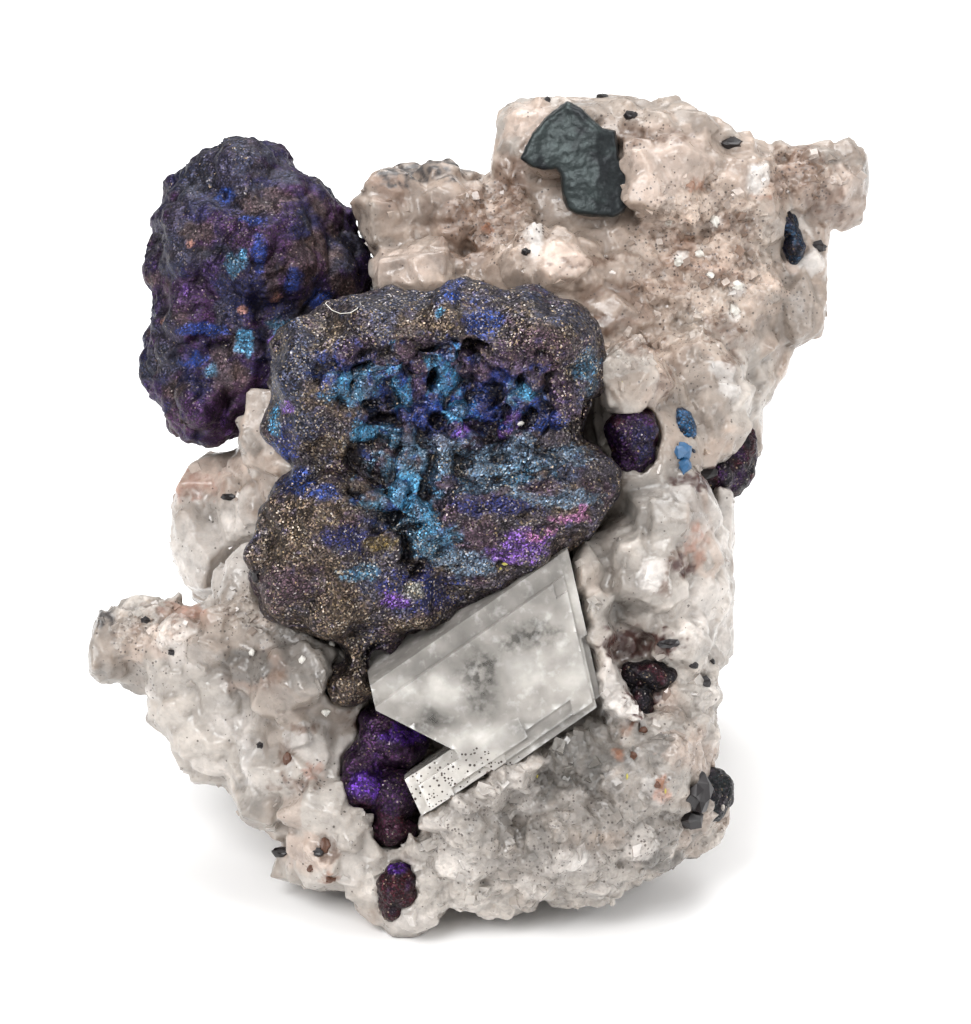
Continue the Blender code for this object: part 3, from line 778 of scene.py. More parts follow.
# The height, by its size, at which a hump or a grain neither rises nor sinks.
HUMP_MIDDLE, GRAIN_MIDDLE = 0.55, 0.5
REAR_PURPLE = srgb(54, 38, 74)
REAR_NAVY = srgb(36, 38, 74)
REAR_BRONZE = srgb(82, 66, 62)
REAR_SLATE = srgb(56, 58, 72)
REAR_PLUM = srgb(70, 42, 76)
PEACH = srgb(190, 138, 122)
REAR_PATCHES = [
    (REAR_SLATE, [(-16.0, 20.6, 3.4, 2.0), (-18.6, 16.6, 1.6, 2.4), (-19.0, 11.0, 1.0, 2.0)]),
    (REAR_BRONZE, [
        (-12.9, 18.7, 1.4, 0.7), (-11.1, 15.1, 1.0, 1.6), (-17.1, 16.9, 0.9, 0.8),
        (-15.6, 8.2, 1.2, 1.4), (-12.9, 14.4, 0.5, 1.4), (-18.2, 11.8, 0.8, 0.6),
    ]),
    (REAR_PLUM, [(-17.9, 13.0, 1.6, 1.2), (-13.6, 16.0, 1.6, 1.4), (-16.0, 5.8, 2.2, 1.4)]),
    (BLUE, [
        (-15.6, 19.0, 0.5, 0.4), (-13.9, 17.6, 0.8, 0.5), (-13.6, 15.4, 0.4, 0.9),
        (-9.8, 12.6, 0.7, 0.9), (-17.0, 10.9, 1.2, 0.5), (-11.6, 14.0, 0.4, 0.8),
        (-17.4, 9.0, 0.7, 0.4),
    ]),
    (TEAL, [(-11.9, 11.0, 0.8, 0.8), (-14.9, 14.9, 0.8, 0.6), (-16.6, 8.4, 0.5, 0.4)]),
    (CYAN, [(-14.6, 10.4, 0.6, 0.8), (-11.6, 11.2, 0.3, 0.4), (-14.5, 15.5, 0.25, 0.4)]),
    (VIOLET, [(-15.6, 5.6, 0.3, 0.5), (-12.4, 10.4, 0.4, 0.3), (-18.0, 13.2, 0.3, 0.3)]),
    (PEACH, [(-12.6, 12.9, 0.3, 0.3), (-14.6, 12.1, 0.3, 0.2), (-17.6, 16.1, 0.2, 0.2),
             (-19.4, 11.5, 0.2, 0.2)]),
]


def sculpt_lump(mesh, coarse, fine, depth, seed, swell=0.0):
    """Roughens a smaller lump of ore: humps, packed grains and a fine felt."""
    places, outward = read(mesh)
    large, _ = packed(places, coarse, 0.2, 0.2, seed)
    small, _ = packed(places, fine, 0.15, 0.3, seed + 1)
    push = swell + cloud(places, coarse * 2.2, 3, seed) * depth * SWELLINGS_STAND
    push += (large / coarse - HUMP_MIDDLE) * depth * HUMPS_STAND
    push += (small / fine - GRAIN_MIDDLE) * depth * GRAINS_STAND
    push += cloud(places, fine * 0.5, 2, seed + 3) * depth * FELT_STANDS
    moved = places + outward * push[:, None]
    write(mesh, moved)
    return places, outward, dips(mesh, moved, outward, 30)


def paint_lump(mesh, shape, base, others, patches, size, seed, felt):
    """Clouds a base colour with others, and paints shade into the hollows."""
    places, outward, dip = shape
    across, up, _ = as_seen(places)
    facing = sides_of(outward, TOWARDS, -0.1)
    ragged = cloud(places, 0.9, 3, seed + 5) * 0.8
    colours = mottled(places, base, others, size, seed)
    colours = tarnish(across, up, colours, patches, ragged, facing, 0.7)
    # Painted shade darkens the hollows of the lump.
    colours = over(colours, PAINTED_HOLE_SHADE, fade(dip, 0.02, 0.22) * LUMP_SUNK_SHADE)
    paint(mesh, "tarnish", colours)
    paint(mesh, "felt", np.clip(felt + 0.4 * cloud(places, size, 1, seed + 9), 0.0, 1.0))


rear = shade_smooth(fine_skin("bornite_rear_skin", "bornite_mass_rear", REAR_VOXEL, REAR_ROUNDS))
rear_shape = sculpt_lump(rear.data, REAR_HUMPS, REAR_GRAINS, REAR_DEPTH, REAR_SEED)
rear_colours = [REAR_NAVY, REAR_BRONZE, REAR_PLUM, REAR_SLATE, REAR_NAVY]
paint_lump(rear.data, rear_shape, REAR_PURPLE, rear_colours, REAR_PATCHES, 2.4, 61.0, REAR_FELT)
rear.data.materials.append(purple_bornite)
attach(rear, "root")
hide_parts("bornite_mass_rear")
print("rear mass:", len(rear.data.polygons), "faces")

# %% [markdown]
# ## The small grains of ore
#
# Smaller grains sit in the pale crust. They are the same mineral, so they could be one
# piece, but each replaces its own solid. One loop dresses them all, from a table of each
# one's node, its main colour, the colours that cloud it, and its patches of bright tarnish.

# %% Grains
GRAIN_VOXEL = 0.11
GRAIN_ROUNDS = 6
GRAIN_HUMPS, GRAIN_LUMPS, GRAIN_DEPTH, GRAIN_SEED = 1.0, 0.45, 0.20, 70
GRAIN_FELT = 0.7
GRAIN_SWELL = 0.20
OWN_SWELL = {
    "bornite_grain_pair": 0.40, "bornite_grain_flank": 0.40, "bornite_grain_vein": 0.25,
    "bornite_grain_oval": 0.05, "bornite_grain_corner": 0.40,
}
DARK_PURPLE = srgb(50, 26, 62)
DARK_RED = srgb(62, 26, 34)
GRAIN_VIOLET = srgb(92, 48, 160)
DARK_STEEL = srgb(40, 58, 78)
STEEL_BLUE = srgb(46, 92, 132)
CHALCOCITE = srgb(42, 48, 49)
CHALCOCITE_LIGHT = srgb(54, 62, 62)
CHALCOCITE_DARK = srgb(31, 34, 37)
BLACK = srgb(26, 24, 30)
GRAIN_LOOKS = [
    ("bornite_cluster_lower", DARK_PURPLE, [DARK_RED, REAR_PLUM, DARK_PURPLE], [
        (GRAIN_VIOLET, [(-7.1, -16.4, 0.7, 0.8), (-6.6, -16.0, 0.3, 0.9), (-4.9, -13.4, 1.0, 0.5)]),
        (REAR_PLUM, [(-6.0, -15.0, 1.2, 0.8)]),
        (DARK_RED, [(-5.6, -19.0, 1.4, 1.0)]),
    ]),
    ("bornite_grain_oval", DARK_PURPLE, [REAR_NAVY, DARK_RED, DARK_PURPLE], [
        (REAR_NAVY, [(9.2, 4.2, 0.6, 0.9)]),
    ]),
    ("bornite_grain_pair", DARK_STEEL, [STEEL_BLUE, REAR_NAVY], [
        (STEEL_BLUE, [(11.6, 5.2, 0.7, 0.8), (11.8, 3.8, 0.6, 0.6)]),
    ]),
    ("bornite_grain_flank", BLACK, [DARK_RED, DARK_PURPLE], []),
    ("bornite_grain_foot", DARK_RED, [DARK_PURPLE, BLACK], [
        (GRAIN_VIOLET, [(-5.3, -21.5, 0.7, 0.3)]),
    ]),
    ("bornite_grain_corner", BLACK, [CHALCOCITE_DARK, CHALCOCITE], []),
    ("bornite_grain_vein", BLACK, [DARK_RED, CHALCOCITE_DARK], []),
    ("bornite_grain_crest", DARK_STEEL, [BLACK, REAR_NAVY], []),
]


for number, (node, base, others, patches) in enumerate(GRAIN_LOOKS):
    seed = GRAIN_SEED + number
    swell = OWN_SWELL.get(node, GRAIN_SWELL)
    piece = shade_smooth(fine_skin(f"{node}_skin", node, GRAIN_VOXEL, GRAIN_ROUNDS))
    shape = sculpt_lump(piece.data, GRAIN_HUMPS, GRAIN_LUMPS, GRAIN_DEPTH, seed, swell)
    paint_lump(piece.data, shape, base, others, patches, 1.0, float(seed), GRAIN_FELT)
    piece.data.materials.append(purple_bornite)
    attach(piece, "root")
    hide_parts(node)
print("grains dressed:", len(GRAIN_LOOKS))

# %% [markdown]
# ## The chalcocite on the crest
#
# Chalcocite, a dull grey-green sulphide, breaks along flat faces, so this patch has straight
# sides and a ridge between two flat fields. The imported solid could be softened, as the
# grains are, but that would round the corners that show. So this one starts as an outline.
# A face fills it, sides go back from it into the crust, and the front edges are bevelled
# before the skin is drawn.

# %% The chalcocite patch
CHALCOCITE_OUTLINE = [
    (2.1, 21.2), (2.8, 20.7), (3.5, 20.5), (4.3, 20.6), (4.5, 20.2), (4.6, 19.1), (4.9, 18.2),
    (5.4, 17.9), (6.4, 17.7), (7.6, 17.7), (8.3, 18.0), (8.8, 19.1), (9.4, 19.4), (8.4, 20.7),
    (8.0, 21.3), (7.8, 22.9), (7.0, 23.0), (5.7, 24.2), (4.9, 24.6), (3.6, 23.6), (2.8, 22.7),
]
CHALCOCITE_RIDGE = 6.7
CHALCOCITE_PROUD = 0.85
RIDGE_HEIGHT = 0.45
RIDGE_REACH = 2.8
RIDGE_SWELLS, RIDGE_ROUGH = 0.10, 0.04
CHALCOCITE_BACK = 2.4
CHALCOCITE_EDGE = 0.22
CHALCOCITE_FELT = 0.5
CHALCOCITE_SHADES = (0.62, 0.35, 0.30)
CHALCOCITE_PATCHES = [
    (CHALCOCITE_DARK, [(8.0, 20.2, 1.3, 2.6), (7.4, 22.4, 0.6, 1.0)]),
    (CHALCOCITE_LIGHT, [(4.4, 22.2, 1.8, 1.4), (5.6, 19.6, 1.0, 1.6)]),
]


def depth_plane(node):
    """A flat field through the node's front, which gives the depth at any place."""
    across, up, near = as_seen(read(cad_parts[node].data)[0])
    columns = np.column_stack((across, up, np.ones(len(across))))
    front_part = near > np.median(near)
    return np.linalg.lstsq(columns[front_part], near[front_part], rcond=None)[0]


def chalcocite_body():
    plane = depth_plane("chalcocite_patch")
    shape = bmesh.new()
    fronts, backs = [], []
    for across, up in CHALCOCITE_OUTLINE:
        near = float(plane @ (across, up, 1.0)) + CHALCOCITE_PROUD
        fronts.append(shape.verts.new(Vector(seen(across, up, near) * MM)))
        backs.append(shape.verts.new(Vector(seen(across, up, near - CHALCOCITE_BACK) * MM)))
    shape.faces.new(fronts)
    shape.faces.new(backs)
    for number in range(len(fronts)):
        shape.faces.new((fronts[number - 1], fronts[number], backs[number], backs[number - 1]))
    bmesh.ops.recalc_face_normals(shape, faces=shape.faces)
    rim = [edge for edge in shape.edges if edge.verts[0] in fronts and edge.verts[1] in fronts]
    bmesh.ops.bevel(
        shape, geom=rim, offset=CHALCOCITE_EDGE * MM, segments=2, affect="EDGES",
        profile=0.5, material=-1,
    )
    piece = put("chalcocite_patch_skin", finished(shape, "chalcocite_patch_skin"))
    add_voxels(piece, GRAIN_VOXEL)
    return shade_smooth(settle(piece))


def raise_ridge(mesh):
    """Lifts the front along the ridge, and roughens it a little."""
    places, outward = read(mesh)
    across, up, _ = as_seen(places)
    slope = 1.0 - np.abs(across - CHALCOCITE_RIDGE) / RIDGE_REACH
    lift = np.clip(slope, 0.0, 1.0) * RIDGE_HEIGHT * sides_of(outward, TOWARDS, 0.3)
    push = cloud(places, 1.4, 3, 91.0) * RIDGE_SWELLS
    push += cloud(places, 0.4, 2, 92.0) * RIDGE_ROUGH
    moved = places + np.outer(lift, TOWARDS) + outward * push[:, None]
    write(mesh, moved)
    return places, outward, dips(mesh, moved, outward, 12)


def chalcocite_finish():
    recipe = Recipe("dull chalcocite")
    grains = recipe.split(recipe.cells(GRAIN, "Color"), 0)
    darkest, clouded, grained = CHALCOCITE_SHADES
    shade = darkest + clouded * recipe.noise(0.5, 4.0) + grained * grains
    colour = recipe.mix(1.0, recipe.painted("tarnish"), shade, "MULTIPLY")
    rough = recipe.bump(recipe.noise(0.35, 4.0), 0.05)
    shader = recipe.surface(Base_Color=colour, Metallic=0.6, Roughness=0.42, Normal=rough)
    return recipe.finish(shader)


chalcocite = chalcocite_body()
ridged = raise_ridge(chalcocite.data)
greys = [CHALCOCITE_DARK, CHALCOCITE_LIGHT, CHALCOCITE_DARK]
paint_lump(
    chalcocite.data, ridged, CHALCOCITE, greys, CHALCOCITE_PATCHES, 1.2, 93.0, CHALCOCITE_FELT
)
chalcocite.data.materials.append(chalcocite_finish())
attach(chalcocite, "root")
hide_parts("chalcocite_patch")
print("chalcocite patch:", len(chalcocite.data.polygons), "faces")

# %% [markdown]
# ## The crust of calcite and quartz
#
# The pale matrix is a druse, a floor of crystals that grew into an open space until they
# met. Cubes and cones would all look alike, and real ones each have their own faces. But
# every crystal is the room inside a set of planes, so each is built from them: planes are
# crossed three at a time, the crossings that lie inside all the others are its corners, and
# a hull is drawn round them. There are rounded crystals with many faces, pointed ones with
# upright sides, and blocks.

# %% Crystal shapes
NEARLY_PARALLEL = 0.05
TOUCHING = 0.001
ROUND_FACES = 14
ROUND_REACH = (0.80, 0.96)
FACE_PLAY = 0.20
GOLDEN_TURN = math.pi * (3.0 - math.sqrt(5.0))
SIDE_PLAY = 0.12
SIDE_RISE = 0.10
SIDE_REACH = (0.65, 0.90)
POINT_LEAN = (0.45, 0.85)
POINT_REACH = (0.72, 0.90)
BLOCK_PLAY = 0.09
CORNER_CUTS = 5
CUT_PLAY = 0.3
CUT_REACH = (0.60, 0.72)


def corners_between(directions, distances):
    """The corners of the room inside a set of planes."""
    directions = directions / np.linalg.norm(directions, axis=1)[:, None]
    threes = np.array(list(combinations(range(len(distances)), 3)))
    crossing = np.abs(np.linalg.det(directions[threes])) > NEARLY_PARALLEL
    threes = threes[crossing]
    corners = np.linalg.solve(directions[threes], distances[threes][:, :, None])[:, :, 0]
    inside = (corners @ directions.T < distances + TOUCHING).all(axis=1)
    return np.unique(corners[inside].round(3), axis=0)


def rounded_crystal(dice):
    steps = np.arange(ROUND_FACES) + 0.5
    heights = 1.0 - 2.0 * steps / ROUND_FACES
    flat = np.sqrt(1.0 - heights**2)
    turns = steps * GOLDEN_TURN
    directions = np.column_stack((np.cos(turns) * flat, np.sin(turns) * flat, heights))
    directions += dice.normal(0.0, FACE_PLAY, directions.shape)
    return corners_between(directions, dice.uniform(*ROUND_REACH, ROUND_FACES))


def pointed_crystal(dice):
    """Upright sides, and three faces that close the top."""
    sides = dice.choice((5, 6, 6))
    turns = (np.arange(sides) + dice.uniform(-SIDE_PLAY, SIDE_PLAY, sides)) * math.tau / sides
    side = np.column_stack((np.cos(turns), np.sin(turns), np.full(sides, SIDE_RISE)))
    tops = (np.arange(3) + dice.random()) * math.tau / 3.0
    lean = dice.uniform(*POINT_LEAN, 3)
    top = np.column_stack((np.cos(tops) * np.sin(lean), np.sin(tops) * np.sin(lean), np.cos(lean)))
    directions = np.vstack((side, top, (0.0, 0.0, -1.0)))
    ends = (dice.uniform(*SIDE_REACH, sides), dice.uniform(*POINT_REACH, 3), (1.0,))
    return corners_between(directions, np.concatenate(ends))


def block_crystal(dice):
    """Six faces that lean a little, and some corners cut off."""
    faces = np.vstack((np.eye(3), -np.eye(3))) + dice.normal(0.0, BLOCK_PLAY, (6, 3))
    cuts = dice.choice((-1.0, 1.0), (CORNER_CUTS, 3))
    cuts = cuts + dice.normal(0.0, CUT_PLAY, (CORNER_CUTS, 3))
    ends = (np.full(6, 0.5), dice.uniform(*CUT_REACH, CORNER_CUTS))
    return corners_between(np.vstack((faces, cuts)), np.concatenate(ends))


print("a block has", len(block_crystal(np.random.default_rng(0))), "corners")

# %% [markdown]
# ## Where the crystals grow
#
# A druse is not even: its crystals are large and smooth on the shoulder and the flank, small
# and pointed along the lower edge. A particle system could strew them all, but some can be
# told apart on the display side. So most are rooted at random, a size for each zone, and
# those are placed where they show, with a ray from the eye to the solid.

# %% Where the crystals are
GRANULAR = [(12.9, 15.1, 4.2, 4.6), (18.6, 20.4, 2.6, 1.4), (0.9, 17.6, 2.2, 2.2),
            (-20.4, -6.6, 2.6, 1.6), (8.8, 9.8, 2.2, 1.2), (-12.5, -6.2, 3.2, 1.4)]
SMALL_DRUSE = [(4.5, -18.5, 12.0, 6.4), (-2.0, -21.5, 6.0, 3.0), (11.6, -12.8, 3.0, 5.0)]

BEIGE = srgb(182, 163, 149)
PINK_BEIGE = srgb(206, 187, 174)
BROWN_BEIGE = srgb(160, 136, 121)
WARM_GREY = srgb(168, 155, 144)
MILKY = srgb(193, 185, 177)
PALE = srgb(214, 206, 199)
GREY = srgb(158, 151, 144)
SMOKY = srgb(118, 113, 107)
WHITE = srgb(220, 214, 209)

# Across, up, and half the width and height.
ROUND_CRYSTALS = [
    (PINK_BEIGE, [
        (11.2, 20.9, 2.6, 2.5), (2.3, 23.3, 1.9, 1.5), (15.0, 20.2, 0.9, 1.2),
        (21.3, 19.7, 1.7, 1.5), (4.2, 15.1, 2.1, 1.3), (-17.0, 2.2, 2.6, 1.5),
        (11.7, -14.6, 1.6, 1.4), (-11.3, -18.0, 1.9, 1.6), (-11.3, -20.0, 1.4, 1.3),
        (10.9, -16.7, 1.0, 0.9), (13.4, -2.4, 1.2, 1.6), (18.7, 14.9, 1.2, 1.1),
    ]),
    (BEIGE, [
        (0.9, 20.8, 1.8, 1.7), (1.3, 18.1, 1.6, 1.4), (-5.1, 18.2, 2.3, 2.2),
        (-2.4, 19.2, 2.1, 1.6), (-1.0, 17.5, 1.7, 1.5), (0.8, 15.2, 1.8, 1.4),
        (5.9, 14.4, 1.4, 1.6), (9.6, 23.7, 1.8, 1.0), (18.8, 20.1, 1.8, 1.6),
        (17.0, 13.2, 1.9, 2.0), (11.2, 17.0, 1.8, 1.6), (14.0, 15.6, 1.9, 1.7),
        (13.2, 12.4, 2.0, 1.7), (9.0, 16.4, 1.7, 1.6), (10.4, 13.6, 1.6, 1.4),
        (12.4, 9.6, 1.7, 1.6), (-21.2, -7.7, 1.7, 1.4), (-12.7, -6.5, 1.7, 1.3),
    ]),
    (WARM_GREY, [
        (-7.0, 17.3, 1.4, 2.0), (12.4, 23.6, 1.6, 1.1), (16.5, 17.0, 1.6, 1.7),
        (19.0, 12.2, 1.8, 2.2), (13.7, 6.2, 1.1, 2.2), (-22.2, -7.5, 1.4, 1.3),
        (-15.0, -6.1, 1.8, 1.4), (-16.4, -8.5, 1.7, 1.4), (-13.3, -11.3, 1.6, 1.5),
        (15.2, 10.2, 1.6, 1.6), (7.6, 12.0, 1.5, 1.2),
    ]),
    (MILKY, [
        (9.9, -0.2, 2.2, 1.9), (6.9, 5.6, 0.9, 1.8), (15.3, 6.9, 1.2, 1.2),
        (7.2, -2.8, 2.0, 1.9), (9.3, -6.4, 1.7, 1.7), (12.4, -8.4, 1.7, 1.6),
        (-18.2, -12.0, 2.0, 1.5), (-15.9, -11.3, 2.1, 1.7), (-16.9, -13.8, 2.1, 1.6),
        (-12.1, -16.0, 2.1, 1.7), (-9.2, -17.4, 1.6, 1.9), (-8.7, -19.5, 1.7, 1.5),
        (-2.9, -18.6, 1.5, 1.5), (10.3, -12.6, 1.4, 1.2), (13.6, 2.2, 0.9, 1.2),
        (-6.9, -22.7, 1.6, 1.3), (-13.4, -17.2, 1.2, 1.2),
    ]),
    (PALE, [
        (11.9, 0.5, 1.8, 1.9), (14.6, 0.2, 1.3, 2.4), (12.9, -5.4, 2.1, 2.1),
        (14.2, -7.6, 1.4, 1.8), (13.2, -11.0, 1.3, 1.4), (13.4, -13.4, 1.3, 1.3),
        (-16.8, -2.2, 3.0, 3.0), (-18.6, -7.5, 1.4, 1.1), (-16.3, -15.2, 1.6, 1.2),
        (-10.2, -14.4, 1.4, 1.3), (-1.6, -21.0, 2.2, 2.1), (2.2, -17.3, 1.3, 1.2),
        (6.4, -22.6, 1.6, 1.1), (3.0, -22.6, 1.3, 1.1), (-1.0, -23.3, 1.7, 1.2),
        (-4.3, -24.7, 1.4, 1.0), (-10.6, -21.7, 1.5, 1.4), (-8.2, -21.7, 1.3, 1.3),
        (1.7, -15.7, 1.2, 0.9), (9.2, -19.9, 1.5, 1.2), (-8.0, -14.4, 1.1, 1.3),
    ]),
    (WHITE, [
        (-20.0, -10.8, 0.7, 0.6), (5.3, -20.9, 1.1, 0.9), (7.5, -9.3, 0.8, 0.9),
        (8.0, -10.6, 0.9, 1.0), (8.7, -11.6, 0.8, 0.8), (9.2, -12.3, 0.6, 0.6),
        (7.9, -12.0, 0.7, 0.6), (-17.2, -4.4, 1.2, 0.9),
    ]),
    (GREY, [
        (-13.0, -9.6, 1.7, 1.4), (-10.5, -10.6, 1.6, 1.5), (1.2, -21.4, 1.4, 1.3),
        (3.2, -19.2, 1.6, 1.5), (5.8, -18.5, 1.6, 1.4), (8.2, -18.2, 1.7, 1.5),
        (6.8, -20.6, 1.3, 1.2), (8.8, -21.6, 1.2, 1.0), (10.7, -19.3, 1.3, 1.2),
        (10.5, -14.0, 1.1, 1.0), (-0.6, -18.6, 1.6, 1.4), (7.4, 1.4, 1.5, 1.7),
        (8.6, -16.3, 1.1, 0.9),
    ]),
    (SMOKY, [
        (4.1, -15.9, 1.6, 1.3), (7.2, -14.8, 1.8, 1.4), (6.5, -16.4, 1.1, 0.9),
        (5.6, -13.6, 1.3, 1.0),
    ]),
]
# Across, up, the three edges, the turns about them in degrees, and the tint.
BLOCK_CRYSTALS = [
    (16.4, 20.1, (1.2, 1.9, 1.4), (0, 16, -10), WHITE),
    (15.1, 20.4, (1.2, 1.8, 1.4), (0, -12, -6), PINK_BEIGE),
    (19.4, 15.0, (1.7, 1.3, 1.2), (14, 0, 25), WHITE),
    (18.9, 17.0, (0.8, 1.6, 0.9), (0, 14, 20), PALE),
    (3.0, 16.5, (0.9, 1.6, 0.9), (0, -18, 10), WHITE),
    (14.2, 8.6, (1.6, 0.9, 1.0), (8, 14, -8), WHITE),
    (14.6, 7.3, (1.2, 0.8, 0.9), (0, 20, -4), WHITE),
    (-4.6, 14.9, (4.2, 2.1, 2.0), (14, -8, 3), PINK_BEIGE),
    (-13.2, 6.4, (2.2, 5.0, 3.0), (0, -14, -6), BEIGE),
    (8.3, 8.5, (3.2, 2.8, 2.4), (16, 14, 30), MILKY),
    (10.2, -3.8, (1.5, 1.9, 1.2), (0, 22, -5), WHITE),
    (14.5, -0.6, (1.2, 4.4, 1.6), (0, 24, -3), PALE),
    (10.5, -11.3, (1.5, 2.6, 1.4), (0, -12, -6), PINK_BEIGE),
    (10.0, -16.8, (0.6, 1.8, 0.8), (0, 24, 30), WHITE),
    (-14.2, -14.9, (0.9, 3.2, 1.1), (0, -12, 14), WHITE),
    (-11.3, -13.2, (1.5, 1.9, 1.3), (0, -14, 15), WHITE),
    (5.0, -14.2, (2.2, 1.6, 1.2), (16, 14, 34), SMOKY),
]
# Across, up, how near the front is, and half the width and height.
LIFTED_CRYSTALS = [
    (WHITE, [
        (7.2, -8.9, 7.4, 0.45, 0.5), (7.5, -9.6, 7.6, 0.55, 0.5), (7.9, -10.4, 7.6, 0.6, 0.5),
        (8.2, -11.1, 7.6, 0.55, 0.5), (8.7, -11.8, 7.4, 0.55, 0.5), (9.1, -12.3, 7.2, 0.4, 0.3),
        (7.2, -10.7, 7.9, 0.55, 0.6), (7.5, -11.5, 7.9, 0.6, 0.5), (8.0, -12.0, 7.6, 0.6, 0.4),
        (7.0, -9.8, 7.8, 0.45, 0.5),
    ]),
    (MILKY, [
        (6.0, -3.6, 6.3, 0.9, 1.6), (6.5, -5.6, 6.5, 0.9, 1.4), (6.9, -7.4, 6.7, 0.9, 1.3),
        (7.0, -8.8, 7.0, 0.6, 0.9),
    ]),
    (PALE, [
        (-2.6, -18.3, 9.0, 1.3, 1.0), (-1.3, -17.5, 9.2, 1.4, 1.0), (0.2, -16.8, 9.1, 1.4, 1.0),
        (1.7, -15.9, 8.9, 1.2, 0.9), (2.8, -15.0, 8.3, 0.9, 0.7), (0.8, -15.7, 8.8, 0.9, 0.8),
    ]),
]
LIFTED_DEPTH = 2.6
# How far apart, the smallest and the largest, and in which zone: 0 elsewhere, 1 small, 2 granular.
ROOTED_CRYSTALS = [(2.1, 0.9, 1.7, 0), (1.25, 0.5, 1.0, 1), (1.1, 0.4, 0.8, 2)]
MATRIX_NODE = "calcite_quartz_matrix"
POCKETS = {node: 0.40 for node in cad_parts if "grain" in node}
POCKETS["chalcocite_patch"] = 0.25
MATRIX_SHRINK = 0.35
ROUND_RISE = 0.22
BLOCK_RISE = 0.42
ROOT_RISE = 0.34
SUNK_PART = 0.85
ROUND_DEPTH = 0.9
# The share of pointed crystals in each zone.
POINTED_SHARE = (0.25, 0.6, 0.4)
CLEAR_OF_OTHERS = 1.5
OTHERS_START = 0.35
OPEN_BELOW = 0.3
FOOT_CLEARANCE = 1.4
CRYSTAL_LEAN = 0.22
PLAIN_VOXEL = 0.6
PLAIN_ROUNDS = 4


def zones(places, ragged):
    """How much of the small druse and of the granular crust is at each place."""
    across, up, _ = as_seen(places)
    small = patch(across, up, SMALL_DRUSE, ragged)
    return small, patch(across, up, GRANULAR, ragged) * (1.0 - small)


def beside_others(places, reach):
    """How close the other minerals are: 1 against them, 0 beyond that many millimetres."""
    others = [piece.data for node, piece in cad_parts.items() if node != MATRIX_NODE]
    tree = tree_of_skins(*others)
    found = [tree.find_nearest(place, reach * MM)[3] for place in (places * MM).tolist()]
    away = np.array([reach if far is None else far / MM for far in found])
    return 1.0 - fade(away, OTHERS_START * reach, reach)


def axes_along(direction, dice):
    """Three axes, the last of them near that direction."""
    third = direction + dice.normal(0.0, CRYSTAL_LEAN, 3)
    third /= np.linalg.norm(third)
    first = np.cross(third, dice.normal(0.0, 1.0, 3))
    first /= np.linalg.norm(first)
    return np.column_stack((first, np.cross(third, first), third))


def rooted_crystals(plain, dice):
    """Corners, in place, of crystals all over the solid."""
    places, outward = read(plain)
    outward = calm(plain, outward, 6)
    small, granular = zones(places, np.zeros(len(places)))
    zone = np.where(small > 0.5, 1, np.where(granular > 0.5, 2, 0))
    open_ground = beside_others(places, CLEAR_OF_OTHERS) < OPEN_BELOW
    open_ground &= places[:, 2] > FOOT_CLEARANCE
    crystals = []
    for spacing, smallest, largest, wanted in ROOTED_CRYSTALS:
        for root in scatter(places, spacing, dice):
            if zone[root] != wanted or not open_ground[root]:
                continue
            size = dice.uniform(smallest, largest)
            pointed = dice.random() < POINTED_SHARE[wanted]
            kind = pointed_crystal if pointed else rounded_crystal
            sunk = outward[root] * (SUNK_PART * size - dice.uniform(0.0, ROOT_RISE))
            corners = kind(dice) @ axes_along(outward[root], dice).T * size
            crystals.append((corners + places[root] - sunk, None))
    return crystals


def placed_crystals(tree, dice):
    """Corners, in place, and tints of the crystals that can be told apart."""
    crystals = []
    for tint, spots in ROUND_CRYSTALS:
        for across, up, wide, high in spots:
            place, facing = on_skin(tree, across, up)
            sizes = np.array([wide, high, min(wide, high) * ROUND_DEPTH])
            corners = rounded_crystal(dice) * sizes @ EYE_TURN.T
            sunk = facing * (SUNK_PART * sizes[2] - ROUND_RISE)
            crystals.append((corners + place - sunk, tint))
    for across, up, edges, turns, tint in BLOCK_CRYSTALS:
        place, facing = on_skin(tree, across, up)
        turn = np.array(Euler([math.radians(angle) for angle in turns]).to_matrix())
        corners = block_crystal(dice) * np.array(edges) @ turn.T @ EYE_TURN.T
        sunk = facing * (0.5 * edges[2] - BLOCK_RISE)
        crystals.append((corners + place - sunk, tint))
    return crystals


def lifted_crystals(dice):
    """Crystals in front of the solid, so deep that they reach it."""
    crystals = []
    for tint, spots in LIFTED_CRYSTALS:
        for across, up, near, wide, high in spots:
            corners = rounded_crystal(dice) * (wide, high, LIFTED_DEPTH) @ EYE_TURN.T
            crystals.append((corners + seen(across, up, near - SUNK_PART * LIFTED_DEPTH), tint))
    return crystals


TRIM_PART = 0.75
ON_FOOT = 0.01
# Where the crust ends too far out: a window, the way out of it, and how far out it may reach.
TRIMS = [
    ((-23.6, -8.2, 3.0, 3.4), (-1.0, 0.0), 23.4), ((22.8, 18.4, 3.0, 4.4), (1.0, 0.0), 22.7),
    ((20.6, 13.6, 2.4, 3.4), (1.0, 0.0), 20.3), ((18.2, 7.2, 2.4, 3.2), (0.90, -0.43), 12.3),
    ((-19.4, -1.0, 1.8, 5.4), (-1.0, 0.0), 18.8), ((-18.6, 3.0, 1.6, 1.8), (-0.8, 0.6), 15.6),
    ((15.0, -4.0, 1.4, 6.0), (1.0, 0.0), 14.8), ((7.6, 25.4, 2.4, 1.6), (0.0, 1.0), 24.8),
    ((-18.8, -3.6, 1.8, 1.6), (-0.86, -0.50), 17.5),
]


def trimmed(places):
    """The places, with those that are too far out for the display side's outline drawn in."""
    across, up, _ = as_seen(places)
    for window, (right, upward), limit in TRIMS:
        excess = np.maximum(across * right + up * upward - limit, 0.0)
        excess *= patch(across, up, [window], 0.0) * TRIM_PART
        places = places - np.outer(excess, RIGHT * right + UPWARD * upward)
    return places


